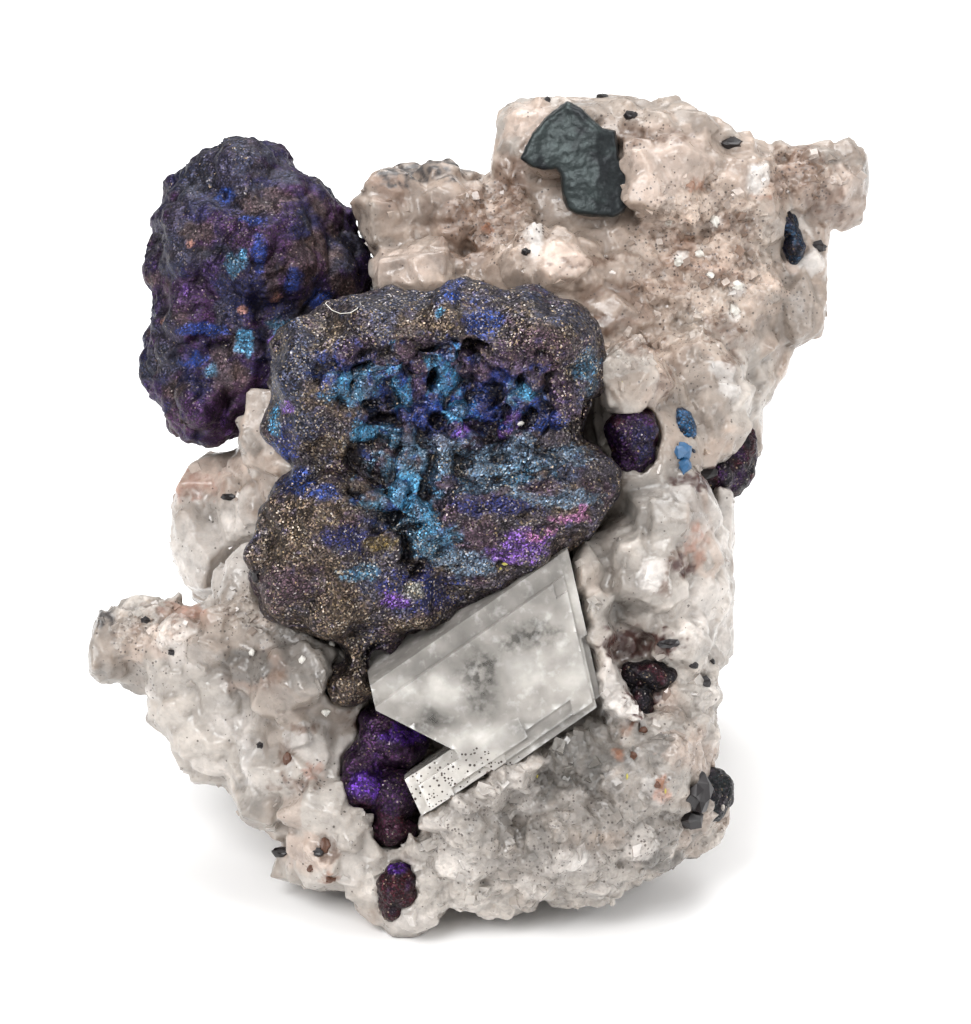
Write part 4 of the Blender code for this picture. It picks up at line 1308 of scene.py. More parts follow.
def drawn_in_solid(node, amounts):
    """A copy of a solid, each of its points moved inward by its own amount."""
    solid = solid_of(node)
    bmesh.ops.recalc_face_normals(solid, faces=solid.faces)
    solid.normal_update()
    places = np.array([vertex.co for vertex in solid.verts]) / MM
    outward = np.array([vertex.normal for vertex in solid.verts])
    moved = trimmed(places - outward * amounts(places)[:, None])
    for vertex, place, height in zip(solid.verts, moved * MM, places[:, 2]):
        vertex.co = (place[0], place[1], max(place[2], 0.0) if height > ON_FOOT else 0.0)
    return finished(solid, node)


def shells_of(crystals):
    """The solid, drawn in a little, and a numbered hull round the corners of each crystal.

    The small grains of ore fill their own pockets, so that none gapes round its dressed skin.
    """
    shape = shape_of(drawn_in_solid(
        MATRIX_NODE,
        lambda places: MATRIX_SHRINK * (1.0 - beside_others(places, CLEAR_OF_OTHERS)),
    ))
    for node, shrink in POCKETS.items():
        shape.from_mesh(drawn_in_solid(node, lambda places: np.full(len(places), shrink)))
    for face in shape.faces:
        face.material_index = 0
    for number, (corners, tint) in enumerate(crystals):
        points = [shape.verts.new(Vector(corner * MM)) for corner in trimmed(corners)]
        hull = bmesh.ops.convex_hull(shape, input=points)["geom"]
        for item in hull:
            if isinstance(item, bmesh.types.BMFace):
                item.material_index = number + 1
    return finished(shape, "crust_shells")


crystal_dice = np.random.default_rng(400)
plain = fine_skin("plain matrix", MATRIX_NODE, PLAIN_VOXEL, PLAIN_ROUNDS)
crystals = rooted_crystals(plain.data, crystal_dice)
print("rooted crystals:", len(crystals))
crystals += placed_crystals(tree_of_skins(plain.data), crystal_dice)
crystals += lifted_crystals(crystal_dice)
bpy.data.objects.remove(plain)
shells = shells_of(crystals)
print("crystals in all:", len(crystals))

# %% [markdown]
# ## One skin over the crystals
#
# Where crystals meet, they grow into one another. Boolean joins of hundreds of hulls are
# slow and break easily, so a voxel skin joins them to the solid. The display side then gets
# four times as many faces as the back, because it is looked at more closely. The voxels
# round the edges off, so the skin's points move onto the nearest crystal face again.

# %% Refining the display side
MATRIX_VOXEL = 0.31
SNAP = 0.85
PARTED_AT = 15.5
EDGE_ON = -0.05
# Their spacing, how much they vary and lean, and the seed of the draw.
CRUMBS = (0.6, 0.2, 0.4, 103)
CRUMB_LEVEL = 0.3
CRUMB_RISE, CRUMBS_SMALL, CRUMBS_GRANULAR = 0.08, 0.16, 0.50
CRUST_ROUGH = 0.06
CALM_BESIDE = 0.7
SMOOTHED = 0.3
IN_FRONT = ("bornite_mass_front", "bornite_mass_rear", "calcite_crystal", "chalcocite_patch")


def on_display(mesh):
    """The faces that the eye can see, as one truth value each."""
    tree = tree_of_skins(*[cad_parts[node].data for node in IN_FRONT])
    eye = Vector(EYE * MM)
    shown = []
    for face in mesh.polygons:
        toward = (eye - face.center).normalized()
        open_view = face.normal.dot(toward) > EDGE_ON
        shown.append(open_view and tree.ray_cast(face.center, toward)[0] is None)
    return shown


def refine(mesh, shown):
    """Divides the faces that are shown in four, and marks what comes of them."""
    shape = shape_of(mesh)
    shape.faces.ensure_lookup_table()
    for face, chosen in zip(shape.faces, shown):
        face.material_index = int(chosen)
    edges = {edge for face in shape.faces if face.material_index for edge in face.edges}
    bmesh.ops.subdivide_edges(shape, edges=list(edges), cuts=1, use_grid_fill=True)
    shape.to_mesh(mesh)
    shape.free()


def part_of(name, mesh, chosen):
    """A copy of the mesh with only its shown faces, or only the others."""
    shape = shape_of(mesh)
    others = [face for face in shape.faces if face.material_index != chosen]
    bmesh.ops.delete(shape, geom=others, context="FACES")
    for face in shape.faces:
        face.material_index = 0
    return put(name, finished(shape, name))


def onto_crystals(mesh, shells):
    """Moves a skin's points onto the nearest crystal, and gives the number of each one's."""
    places, _ = read(mesh)
    tree = tree_of_skins(shells)
    numbers = np.empty(len(shells.polygons), np.int32)
    shells.polygons.foreach_get("material_index", numbers)
    hits = [tree.find_nearest(place) for place in (places * MM).tolist()]
    found = np.array([hit[0] for hit in hits]) / MM
    write(mesh, places + (found - places) * SNAP)
    return numbers[[hit[2] for hit in hits]]


def sculpt_matrix(mesh):
    """Adds the grains that are too fine to be crystals of their own."""
    places, outward = read(mesh)
    outward = calm(mesh, outward, 6)
    small, granular = zones(places, cloud(places, 2.2, 2, 100.0) * 0.4)
    fine, _ = packed(places, *CRUMBS)
    crumbly = CRUMB_RISE + CRUMBS_SMALL * small + CRUMBS_GRANULAR * granular
    push = (fine - CRUMB_LEVEL) * crumbly
    push += cloud(places, 0.9, 3, 104.0) * CRUST_ROUGH
    push *= fade(places[:, 2], 0.2, 1.6) * (1.0 - CALM_BESIDE * beside_others(places, 1.0))
    moved = places + outward * push[:, None]
    moved = (1.0 - SMOOTHED) * moved + SMOOTHED * spread(mesh, moved, 1)
    moved[:, 2] = np.maximum(moved[:, 2], 0.0)
    write(mesh, moved)
    return {
        "places": places, "outward": outward, "small_zone": small, "grain_zone": granular,
        "dip": dips(mesh, moved, outward, 12),
    }


def part_low(mesh, level):
    """Marks the faces on display that lie below that height as a part of their own."""
    for face in mesh.polygons:
        if face.material_index and face.center.z < level * MM:
            face.material_index = 2


matrix = put("matrix_skin", shells.copy())
add_voxels(matrix, MATRIX_VOXEL)
settle(matrix)
refine(matrix.data, on_display(matrix.data))
shade_smooth(matrix)
owners = onto_crystals(matrix.data, shells)
matrix_shape = sculpt_matrix(matrix.data)
part_low(matrix.data, PARTED_AT)
print("matrix:", len(matrix.data.polygons), "faces")

# %% [markdown]
# ## Colouring the crust
#
# Calcite and quartz are colourless. What tints them is iron stain, dark inclusions and
# the depth of the crystal that light passes through. See-through crystals with dirt inside
# would be true to life, but slow and noisy to render. So the crust gets a painted tint and
# a painted amount of dark specks, and its material lets light soak in a little.

# %% Painting the crust
STAIN_BROWN = srgb(106, 78, 60)
STAIN_RED = srgb(72, 36, 30)
STAIN_ORANGE = srgb(154, 104, 76)
DARK_CAP = srgb(66, 62, 62)
PINK_STAIN = srgb(184, 146, 130)
SEAM_SHADE = srgb(122, 106, 92)
CRUST_LIGHTNESS = 0.80
OWN_TINT = 0.6
DARKEST_CRYSTAL, CRYSTAL_RANGE, BETWEEN_CRYSTALS = 0.86, 0.26, 0.9
DEPTH_CLOUDS = 0.22
STAIN_RAGGED = 0.9
STAIN_BASE, STAIN_CRUMBS, STAIN_MOST = 0.4, 0.6, 0.95
FRECKLES, FRECKLES_GRANULAR = 0.06, 0.34
SEAM_SHADE_COVER = 0.5
FEWEST_SPECKS = 0.10
LEAST_SUGAR, MORE_SUGAR = 0.25, 0.75

CRUST_PATCHES = [
    (BEIGE, [(10.0, 15.0, 13.0, 11.0), (-3.6, 17.0, 5.0, 5.0), (1.5, 15.0, 2.4, 3.6)]),
    (MILKY, [
        (-16.0, -13.6, 4.4, 4.4), (11.0, -1.0, 3.6, 3.4), (12.4, -6.6, 3.2, 4.4),
        (-8.0, -20.6, 4.0, 3.4), (-2.0, -21.6, 4.6, 3.4), (5.0, -22.0, 5.0, 1.6),
        (-9.4, -16.4, 3.4, 3.0), (15.8, 7.6, 1.6, 2.4), (7.6, 4.4, 1.6, 2.6),
    ]),
    (BROWN_BEIGE, [
        (-1.2, 17.2, 2.0, 2.4), (1.5, 19.0, 1.1, 2.6), (8.2, 12.6, 2.4, 1.4),
        (-6.0, 19.4, 1.2, 1.2), (-18.0, -6.3, 1.6, 0.8), (18.9, 19.8, 1.6, 1.8),
        (12.6, 14.6, 2.4, 2.0), (-13.0, -9.6, 2.4, 1.4), (-17.4, 1.6, 2.2, 0.9),
    ]),
    (WARM_GREY, [
        (9.4, 24.2, 3.2, 0.9), (18.8, 12.1, 2.0, 2.4), (12.6, 6.6, 1.7, 2.2),
        (16.4, 16.6, 1.6, 2.0), (-21.8, -7.8, 1.8, 1.8), (-14.8, -4.9, 1.4, 1.8),
        (7.0, 0.8, 1.2, 1.8), (-11.4, -12.4, 2.6, 2.4), (13.4, 11.6, 2.4, 2.4),
        (10.0, 4.2, 1.0, 2.0), (8.0, 8.4, 1.8, 1.6), (-7.2, 17.6, 0.9, 1.8),
    ]),
    (GREY, [
        (7.0, -17.4, 3.4, 1.8), (-10.4, -8.6, 2.4, 1.6), (3.0, -18.4, 3.0, 3.0),
        (10.4, -19.0, 2.0, 1.6), (8.3, -4.4, 1.6, 2.2), (-14.2, -15.4, 0.8, 1.4),
        (-2.4, -17.6, 2.4, 1.2), (9.0, -14.6, 1.8, 1.4),
    ]),
    (SMOKY, [
        (5.7, -13.9, 2.6, 1.8), (6.9, -12.3, 1.2, 0.9), (-14.2, -9.2, 1.6, 1.0),
        (7.5, -6.0, 1.2, 1.2), (2.6, -19.2, 1.0, 1.6), (4.4, -15.6, 1.2, 0.8),
        (3.4, -16.6, 1.2, 0.8), (10.8, -21.0, 1.8, 0.5), (-9.4, -7.6, 1.2, 0.6),
    ]),
    (PINK_BEIGE, [
        (10.5, 21.0, 2.6, 2.1), (21.6, 19.2, 1.4, 1.6), (-4.8, 14.8, 2.4, 1.0),
        (2.6, 23.0, 1.5, 1.4), (4.4, 15.2, 1.6, 1.0), (10.2, -11.2, 1.0, 1.3),
        (-18.6, -7.8, 1.6, 1.0), (-10.6, -20.4, 1.8, 1.2), (12.6, -14.4, 1.6, 1.4),
        (-16.0, 2.6, 1.6, 0.8), (13.0, -0.4, 0.9, 1.6), (18.8, 15.2, 0.9, 0.9),
    ]),
    (PALE, [
        (-16.2, -1.8, 2.6, 3.2), (14.4, -0.6, 1.0, 3.0), (13.2, -6.4, 1.8, 2.2),
        (-10.2, -13.7, 0.9, 1.2), (-14.0, -15.0, 0.6, 1.8), (-17.7, -8.6, 1.2, 0.9),
        (5.0, -21.0, 1.4, 0.9), (-5.0, -24.2, 1.6, 0.8), (7.8, -11.6, 1.3, 0.6),
        (-15.4, -12.6, 1.6, 1.2), (-8.2, -14.8, 1.0, 1.4), (-13.4, 6.6, 1.0, 2.2),
    ]),
    (WHITE, [
        (10.0, -3.9, 0.8, 1.0), (16.2, 20.0, 0.6, 0.9), (3.0, 16.2, 0.4, 0.9),
        (14.2, 8.6, 0.7, 0.4), (14.6, 7.3, 0.5, 0.4), (19.4, 15.0, 0.9, 0.6),
        # The white spots from here on are painted glints on the crest.
        (11.8, 15.3, 0.4, 0.3), (12.9, 15.9, 0.3, 0.3), (15.1, 13.3, 0.5, 0.4),
        (14.9, 12.0, 0.4, 0.5), (13.8, 17.4, 0.3, 0.5),
    ]),
]
# A colour, how strongly it covers, and its ellipses.
STAINS = [
    (DARK_CAP, 1.0, [(-3.9, 20.8, 2.2, 0.8), (-5.8, 20.0, 0.8, 0.6), (-22.9, -6.4, 0.6, 0.5)]),
    (STAIN_BROWN, 0.8, [
        (18.9, 20.5, 1.5, 1.2), (20.8, 18.2, 1.0, 1.2), (9.3, 10.0, 1.5, 0.6), (7.2, 11.2, 0.8, 0.8),
        (10.8, 7.6, 0.5, 0.8), (-0.8, 17.6, 1.2, 1.2), (1.4, 19.4, 0.8, 1.6),
        (11.7, -2.9, 1.0, 0.9), (10.7, -4.8, 0.4, 0.5), (11.6, 16.3, 1.2, 0.5),
        (14.7, 17.4, 1.0, 0.6), (13.8, 13.9, 1.2, 0.5), (15.6, 15.2, 0.6, 0.8),
        (-18.4, -6.0, 1.2, 0.5), (14.4, 11.0, 1.0, 0.9), (-17.6, 1.2, 0.8, 0.4),
        (-0.6, 15.8, 1.2, 0.3), (-10.9, -13.0, 0.9, 0.3), (-12.0, -14.7, 0.4, 0.8),
        (-11.4, -16.4, 1.2, 0.4), (-7.4, -12.4, 1.1, 0.7), (9.6, 22.6, 2.4, 0.5),
        (4.0, 22.0, 0.8, 1.2), (15.8, 17.4, 0.7, 0.9), (-9.6, -20.4, 0.6, 0.8),
        (20.0, 19.0, 0.8, 0.8), (14.8, 9.2, 0.6, 0.7), (6.0, 15.0, 1.6, 0.3),
    ]),
    (PINK_STAIN, 0.8, [
        (-17.1, 1.6, 1.4, 0.8), (-18.0, -6.0, 1.0, 0.5), (10.6, -16.9, 0.5, 0.4),
        (-10.4, -15.6, 0.6, 0.5), (12.6, -2.0, 0.6, 1.2),
    ]),
    (STAIN_RED, 1.5, [
        (8.7, -8.0, 1.6, 1.0), (9.6, -10.2, 0.9, 1.9), (10.6, -8.0, 1.2, 0.7),
        (13.2, 2.0, 1.3, 0.6), (11.8, -3.2, 0.6, 0.5),
    ]),
    (STAIN_ORANGE, 0.8, [
        (8.4, -13.0, 0.5, 0.35), (8.0, -14.4, 0.3, 0.5), (10.6, -16.2, 0.4, 0.3),
        (-9.4, -22.0, 0.5, 0.3), (12.6, 19.6, 0.4, 0.4), (0.2, 17.0, 0.4, 0.3),
        (16.6, 18.9, 0.7, 0.15),
    ]),
]
# How much lighter or darker than its tint the crust is, and its ellipses.
SHADES = [
    (0.80, [(4.0, -19.4, 8.0, 4.0), (11.6, -14.6, 2.6, 4.2), (-12.0, -11.6, 3.6, 4.4)]),
    (0.72, [(6.0, -15.0, 2.8, 1.8), (11.0, 0.4, 3.0, 2.2)]),
    (0.82, [(20.6, 19.6, 3.0, 2.4), (-3.0, 17.0, 4.4, 3.2), (18.8, 12.0, 2.0, 2.4)]),
    (1.20, [(13.4, 15.0, 3.8, 3.6)]),
    (0.92, [(21.0, 19.6, 2.4, 2.2), (11.6, -14.8, 2.6, 4.2), (-13.2, 6.2, 1.2, 3.4)]),
    (0.95, [(11.0, 21.0, 3.2, 2.8), (3.0, -20.6, 9.0, 3.2), (-19.2, -8.4, 3.0, 2.4)]),
]
SPECKLED = [
    (12.9, 15.1, 4.4, 5.2), (18.6, 20.0, 2.8, 1.8), (0.4, 17.8, 2.8, 2.8),
    (-14.0, -6.0, 3.6, 2.2), (-20.0, -7.8, 3.0, 1.8), (3.0, -19.2, 6.4, 3.6),
    (9.2, -19.0, 3.6, 2.8), (-14.6, -9.6, 1.4, 1.2), (-2.4, -16.4, 2.4, 1.6),
    (7.4, 22.8, 3.6, 1.4), (18.4, 12.6, 1.6, 1.6), (-10.6, -15.8, 1.8, 1.0),
    (11.6, 8.0, 1.6, 1.8), (-20.0, -10.0, 1.6, 0.8),
]


def crystal_tints(owners, colours):
    """Tints whole crystals: a shade of its own for each, and its colour if it has one."""
    middles = np.array([corners.mean(axis=0) for corners, tint in crystals])
    shades = DARKEST_CRYSTAL + CRYSTAL_RANGE * lot(middles)
    named = np.array([np.zeros(3) if tint is None else tint for corners, tint in crystals])
    weights = np.array([0.0 if tint is None else OWN_TINT for corners, tint in crystals])
    in_crystal = owners > 0
    number = np.maximum(owners - 1, 0)
    weight = np.where(in_crystal, weights[number], 0.0)[:, None]
    colours = colours + (named[number] - colours) * weight
    return colours * np.where(in_crystal, shades[number], BETWEEN_CRYSTALS)[:, None]


def stained(colours, places, across, up, facing, granular):
    """Lays stains and freckles of iron over the crust."""
    frayed = cloud(places, 0.7, 3, 120.0)
    crumbs = fade(cloud(places, 0.4, 2, 124.0), -0.3, 0.3)
    for colour, strength, spots in STAINS:
        stain = patch(across, up, spots, frayed * STAIN_RAGGED) * facing
        covers = stain * strength * (STAIN_BASE + STAIN_CRUMBS * crumbs)
        colours = over(colours, colour, np.minimum(covers, STAIN_MOST))
    freckles = fade(frayed, 0.18, 0.5)
    return over(colours, STAIN_BROWN, freckles * (FRECKLES + FRECKLES_GRANULAR * granular))


def paint_matrix(mesh, shape):
    places, outward, dip = shape["places"], shape["outward"], shape["dip"]
    across, up, _ = as_seen(places)
    facing = sides_of(outward, TOWARDS, -0.3)
    ragged = cloud(places, 1.6, 3, 110.0) * 0.45
    colours = mottled(places, WARM_GREY, [BEIGE, MILKY, GREY, MILKY], 5.0, 111.0)
    colours = tarnish(across, up, colours, CRUST_PATCHES, ragged, facing)
    colours = crystal_tints(owners, colours)
    colours *= (1.0 + DEPTH_CLOUDS * cloud(places, 1.4, 4, 130.0))[:, None]
    for shade, spots in SHADES:
        colours *= (1.0 + (shade - 1.0) * patch(across, up, spots, ragged))[:, None]
    colours = stained(colours, places, across, up, facing, shape["grain_zone"])
    # Painted shade, in a warm brown, darkens the seams between the crystals.
    colours = over(colours, SEAM_SHADE, fade(dip, 0.03, 0.36) * SEAM_SHADE_COVER)
    paint(mesh, "tint", colours * CRUST_LIGHTNESS)
    specks = patch(across, up, SPECKLED, ragged) * facing
    paint(mesh, "specks", np.maximum(specks, FEWEST_SPECKS))
    fine = np.maximum(shape["small_zone"], shape["grain_zone"])
    paint(mesh, "sugar", LEAST_SUGAR + MORE_SUGAR * fine)


paint_matrix(matrix.data, matrix_shape)
print("crust painted in", len(CRUST_PATCHES), "tints and", len(STAINS), "stains")

# %% [markdown]
# ## The crust's finish
#
# Crystal faces too small to model still catch the light one by one. A bump would blur them,
# so two sizes of Voronoi cells tilt the normal instead, as on the bornite. Dark specks are
# round dots in a few of the smallest cells. Subsurface light makes the whole look milky, and
# a thin coat makes it glassy.

# %% A finish for crystals
SPECK = 0.21
SPECK_SIZE = 0.27
SPECK_COLOUR = srgb(58, 46, 42)
SPECK_COVER = 0.8
SUGAR = 0.42
FINE_SUGAR = 0.17
SUGAR_LEAN, FINE_LEAN = 0.6, 0.4
SUGAR_SHADE, FINE_SHADE = 0.22, 0.20
DARKEST_CLOUD, CLOUD_RANGE = 0.58, 0.52


def dots(recipe, share):
    """Fine round specks, in that share of small cells."""
    away = recipe.cells(SPECK, "Distance")
    dice = recipe.cells(SPECK, "Color")
    chance = recipe.split(dice, 0)
    size = SPECK_SIZE * (0.5 + recipe.split(dice, 1))
    return away.below(size) * chance.below(share)


def crust_finish(name, roughness, soak):
    recipe = Recipe(name)
    tint = recipe.painted("tint")
    amount = recipe.painted("specks", "Fac")
    sugar = recipe.painted("sugar", "Fac")
    crystals = recipe.cells(SUGAR, "Color")
    crumbs = recipe.cells(FINE_SUGAR, "Color")
    clouds = recipe.noise(0.7, 5.0)
    own = recipe.split(crystals, 0) * SUGAR_SHADE + recipe.split(crumbs, 0) * FINE_SHADE
    shade = DARKEST_CLOUD + CLOUD_RANGE * clouds + own * (0.3 + sugar)
    colour = recipe.mix(1.0, tint, shade, "MULTIPLY")
    speck = dots(recipe, amount * (1.5 * recipe.noise(1.1, 3.0) - 0.3))
    colour = recipe.mix(speck * SPECK_COVER, colour, SPECK_COLOUR)
    leans = ((crystals, SUGAR_LEAN), (crumbs, FINE_LEAN))
    leans = [recipe.vector("MULTIPLY", recipe.leaning(*lean), sugar) for lean in leans]
    tilted = recipe.tilted(recipe.vector("ADD", *leans))
    rough = recipe.bump(recipe.noise(0.5, 4.0), 0.05, tilted)
    sheen = recipe.ramp(recipe.noise(0.7, 2.0), (0.35, roughness - 0.12), (0.65, roughness + 0.2))
    shader = recipe.surface(
        Base_Color=colour,
        Roughness=sheen,
        IOR=1.54,
        Subsurface_Weight=soak,
        Subsurface_Radius=(1.0, 0.92, 0.85),
        Subsurface_Scale=0.0012,
        Coat_Weight=0.25,
        Coat_Roughness=0.12,
        Normal=rough,
    )
    return recipe.finish(shader)


crust = crust_finish("calcite and quartz crust", 0.36, 0.5)
for name, chosen in (("crust_display_upper", 1), ("crust_display_lower", 2), ("crust_back", 0)):
    part = part_of(name, matrix.data, chosen)
    part.data.materials.append(crust)
    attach(part, "root")
    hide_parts("calcite_quartz_matrix")
    triangles = sum(len(face.vertices) - 2 for face in part.data.polygons)
    print(name, "has", triangles, "triangles")

# %% [markdown]
# ## Small crystals on the crust
#
# Up close, the crust bristles with crystals under a millimetre across. Hundreds of them
# would be slow as separate objects, so each zone is one mesh. For a rhomb, a cube is leaned
# into the shape in which calcite splits. For a quartz prism, a six-sided tube gets a point
# at each end. Each is turned at random, half sunk where it grows, and takes the tint of the
# crust below it.

# %% Scattered crystals
RHOMB_LEAN = math.radians(63.8)
PRISM_SIDES = 6
PRISM_RADIUS = 0.26
PRISM_POINT = 1.1
# A higher power makes small crystals more common.
SMALLER = 2.2
TINT_LEAST, TINT_RANGE = 0.95, 0.4


def rhomb(shape, edge, place):
    """Adds a calcite rhomb: a cube that is leaned along its diagonal."""
    edges = []
    for third in range(3):
        turn = third * math.tau / 3.0
        flat = Vector((math.cos(turn), math.sin(turn), 0.0)) * math.sin(RHOMB_LEAN)
        edges.append((flat + Vector((0.0, 0.0, math.cos(RHOMB_LEAN)))) * edge * MM)
    lean = Matrix(edges).transposed().to_4x4()
    return bmesh.ops.create_cube(shape, size=1.0, matrix=place @ lean)["verts"]


def prism(shape, edge, place):
    """Adds a six-sided quartz crystal with a pyramid at each end."""
    radius = edge * PRISM_RADIUS * MM
    body = bmesh.ops.create_cone(
        shape, cap_ends=False, segments=PRISM_SIDES, radius1=radius, radius2=radius,
        depth=edge * MM, matrix=place,
    )["verts"]
    rims = list({edge for vertex in body for edge in vertex.link_edges if edge.is_boundary})
    caps = bmesh.ops.edgenet_fill(shape, edges=rims)["faces"]
    tips = bmesh.ops.poke(shape, faces=caps, offset=radius * PRISM_POINT)["verts"]
    return body + tips


def turned_by(dice):
    """A random rotation."""
    axis = Vector(dice.normal(0.0, 1.0, 3)).normalized()
    return Matrix.Rotation(dice.uniform(0.0, math.tau), 4, axis)


def painted_on(mesh, name):
    """The colours that were painted on a mesh."""
    colours = np.empty(len(mesh.vertices) * 4, np.float32)
    mesh.attributes[name].data.foreach_get("color", colours)
    return colours.reshape(-1, 4)[:, :3]


def sprinkle(name, weights, count, edges, sunk, make, seed):
    """Grows that many small crystals over the crust, most of them where the weights are high."""
    dice = np.random.default_rng(seed)
    ground = matrix.data
    places, outward = read(ground)
    tints = painted_on(ground, "tint")
    chosen = dice.choice(len(places), count, p=weights / weights.sum())
    shape = bmesh.new()
    tint_layer = shape.verts.layers.float_color.new("tint")
    shape.verts.layers.float.new("sugar")
    shape.verts.layers.float.new("specks")
    for number in chosen:
        edge = edges[0] + (edges[1] - edges[0]) * dice.random() ** SMALLER
        spot = places[number] - outward[number] * edge * sunk
        made = make(shape, edge, Matrix.Translation(Vector(spot * MM)) @ turned_by(dice))
        shade = TINT_LEAST + TINT_RANGE * dice.random()
        for vertex in made:
            vertex[tint_layer] = [*(tints[number] * shade), 1.0]
    piece = put(name, finished(shape, name))
    piece.data.materials.append(glassy)
    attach(piece, "root")
    print(name, "has", count, "crystals")


ground_places, ground_outward = read(matrix.data)
facing = sides_of(ground_outward, TOWARDS, 0.0)
clear_of_foot = fade(ground_places[:, 2], 1.0, 2.0)
glassy = crust_finish("small glassy crystals", 0.14, 0.3)
small = clear_of_foot * (0.03 + matrix_shape["small_zone"] * facing)
granular = clear_of_foot * (0.02 + matrix_shape["grain_zone"] * facing)
everywhere = clear_of_foot * (0.25 + 0.75 * facing)
# Where they grow, how many, their edges, how deep they sit, their shape and the seed.
SPRINKLED = {
    "lower_druse_rhombs": (small, 220, (0.3, 0.8), 0.40, rhomb, 200),
    "lower_druse_prisms": (small, 60, (0.5, 1.0), 0.12, prism, 203),
    "crest_druse_rhombs": (granular, 420, (0.2, 0.55), 0.34, rhomb, 201),
    "scattered_rhombs": (everywhere, 160, (0.3, 0.7), 0.42, rhomb, 202),
}
for name, row in SPRINKLED.items():
    sprinkle(name, *row)

# %% [markdown]
# ## Dark grains, flecks and a fibre
#
# Tiny lumps of ore and flecks of yellow sulphide are scattered over the specimen, and a
# cotton fibre has settled on the front mass. Small white lumps stand for painted glints.
# Lumps could be painted as dots, but the larger ones stand out, so each is a small ball whose
# points are moved at random. A curve with a bevel would do for the fibre. Short round
# pieces, end to end, need no conversion to a mesh.

# %% Small lumps
LUMP_BLACK = srgb(34, 30, 32)
LUMP_BROWN = srgb(92, 60, 44)
FLECK_YELLOW = srgb(186, 176, 84)
LINT_AND_GLINT_WHITE = srgb(226, 222, 214)
LUMP_PLAY = 0.17
LUMP_SEED = 230
# Across, up, and half the width and height.
SMALL_LUMPS = [
    ("dark_grains", LUMP_BLACK, [
        (-18.8, -8.4, 0.28, 0.2), (-12.2, -20.4, 0.62, 0.3), (-10.0, -20.4, 0.35, 0.3),
        (-13.7, -3.8, 0.35, 0.35), (8.7, 23.8, 0.45, 0.32), (7.0, 24.9, 0.4, 0.2),
        (14.8, 22.1, 0.7, 0.4), (19.9, 15.9, 0.55, 0.35), (-15.4, 0.9, 0.5, 0.22),
        (13.2, -10.2, 0.35, 0.4), (12.5, -9.2, 0.3, 0.22), (13.6, -9.0, 0.2, 0.2),
        (3.7, 24.7, 0.25, 0.2), (2.4, 15.6, 0.25, 0.25), (-20.4, -6.5, 0.3, 0.2),
        (11.0, -7.9, 0.7, 0.3), (-13.5, -14.0, 0.2, 0.2), (13.0, 2.3, 1.0, 0.5),
        (12.6, -16.9, 1.0, 1.1), (12.2, -18.4, 0.9, 0.6),
    ]),
    ("brown_grains", LUMP_BROWN, [
        (-9.6, -20.0, 0.35, 0.5), (-10.5, -21.4, 0.2, 0.2), (-9.3, -22.0, 0.3, 0.25),
        (9.5, -13.1, 0.25, 0.2), (8.9, -14.6, 0.2, 0.25), (-11.9, -14.8, 0.25, 0.4),
        (-4.8, -18.6, 0.3, 0.2), (10.3, -16.4, 0.2, 0.2),
    ]),
    ("blue_grains", STEEL_BLUE, [(11.8, 3.6, 0.5, 0.6), (12.0, 2.7, 0.4, 0.5)]),
    ("yellow_flecks", FLECK_YELLOW, [
        (1.2, -3.1, 0.20, 0.10), (8.2, 7.7, 0.07, 0.14), (0.9, -3.4, 0.08, 0.08),
        (3.1, -15.8, 0.06, 0.16), (8.5, -15.9, 0.07, 0.22), (10.8, -16.7, 0.06, 0.2),
    ]),
    # Small white lumps that stand for painted glints.
    ("white_glint_grains", LINT_AND_GLINT_WHITE, [
        (11.6, 15.0, 0.3, 0.25), (12.9, 15.5, 0.35, 0.25), (15.1, 13.6, 0.35, 0.25),
        (14.9, 12.1, 0.4, 0.35), (13.8, 17.4, 0.25, 0.4), (-9.2, -8.0, 0.2, 0.3),
        (13.5, 14.2, 0.25, 0.2), (2.1, 5.3, 0.2, 0.15), (-14.0, -8.4, 0.2, 0.2),
        (-11.0, -8.9, 0.2, 0.3), (-9.6, -12.0, 0.3, 0.25), (11.0, 17.4, 0.2, 0.2),
    ]),
]


def grow_lumps(name, colour, lumps, tree, seed):
    dice = np.random.default_rng(seed)
    shape = bmesh.new()
    for across, up, wide, high in lumps:
        spot = on_skin(tree, across, up)[0]
        size = Matrix.Diagonal((wide * MM, high * MM, min(wide, high) * MM, 1.0))
        place = Matrix.Translation(Vector(spot * MM)) @ EYE_AXES @ size
        made = bmesh.ops.create_icosphere(shape, subdivisions=2, radius=1.0, matrix=place)
        for vertex in made["verts"]:
            vertex.co += Vector(dice.normal(0.0, LUMP_PLAY * min(wide, high) * MM, 3))
    piece = put(name, finished(shape, name))
    recipe = Recipe(name.replace("_", " "))
    shade = recipe.mix(recipe.noise(0.2, 3.0), colour * 0.5, colour * 1.2)
    piece.data.materials.append(recipe.finish(recipe.surface(Base_Color=shade, Roughness=0.4)))
    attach(piece, "root")
    print(name, "has", len(lumps), "lumps")


skins_tree = tree_of_skins(matrix.data, front.data)
for number, (name, colour, lumps) in enumerate(SMALL_LUMPS):
    grow_lumps(name, colour, lumps, skins_tree, LUMP_SEED + number)

# %% The cotton fibre
FIBRE_ROUTE = [(-9.6, 12.5), (-9.2, 12.1), (-8.7, 11.9), (-8.1, 11.95), (-7.7, 12.2), (-7.5, 12.5)]
FIBRE_RADIUS = 0.025
FIBRE_LIFT = 0.08


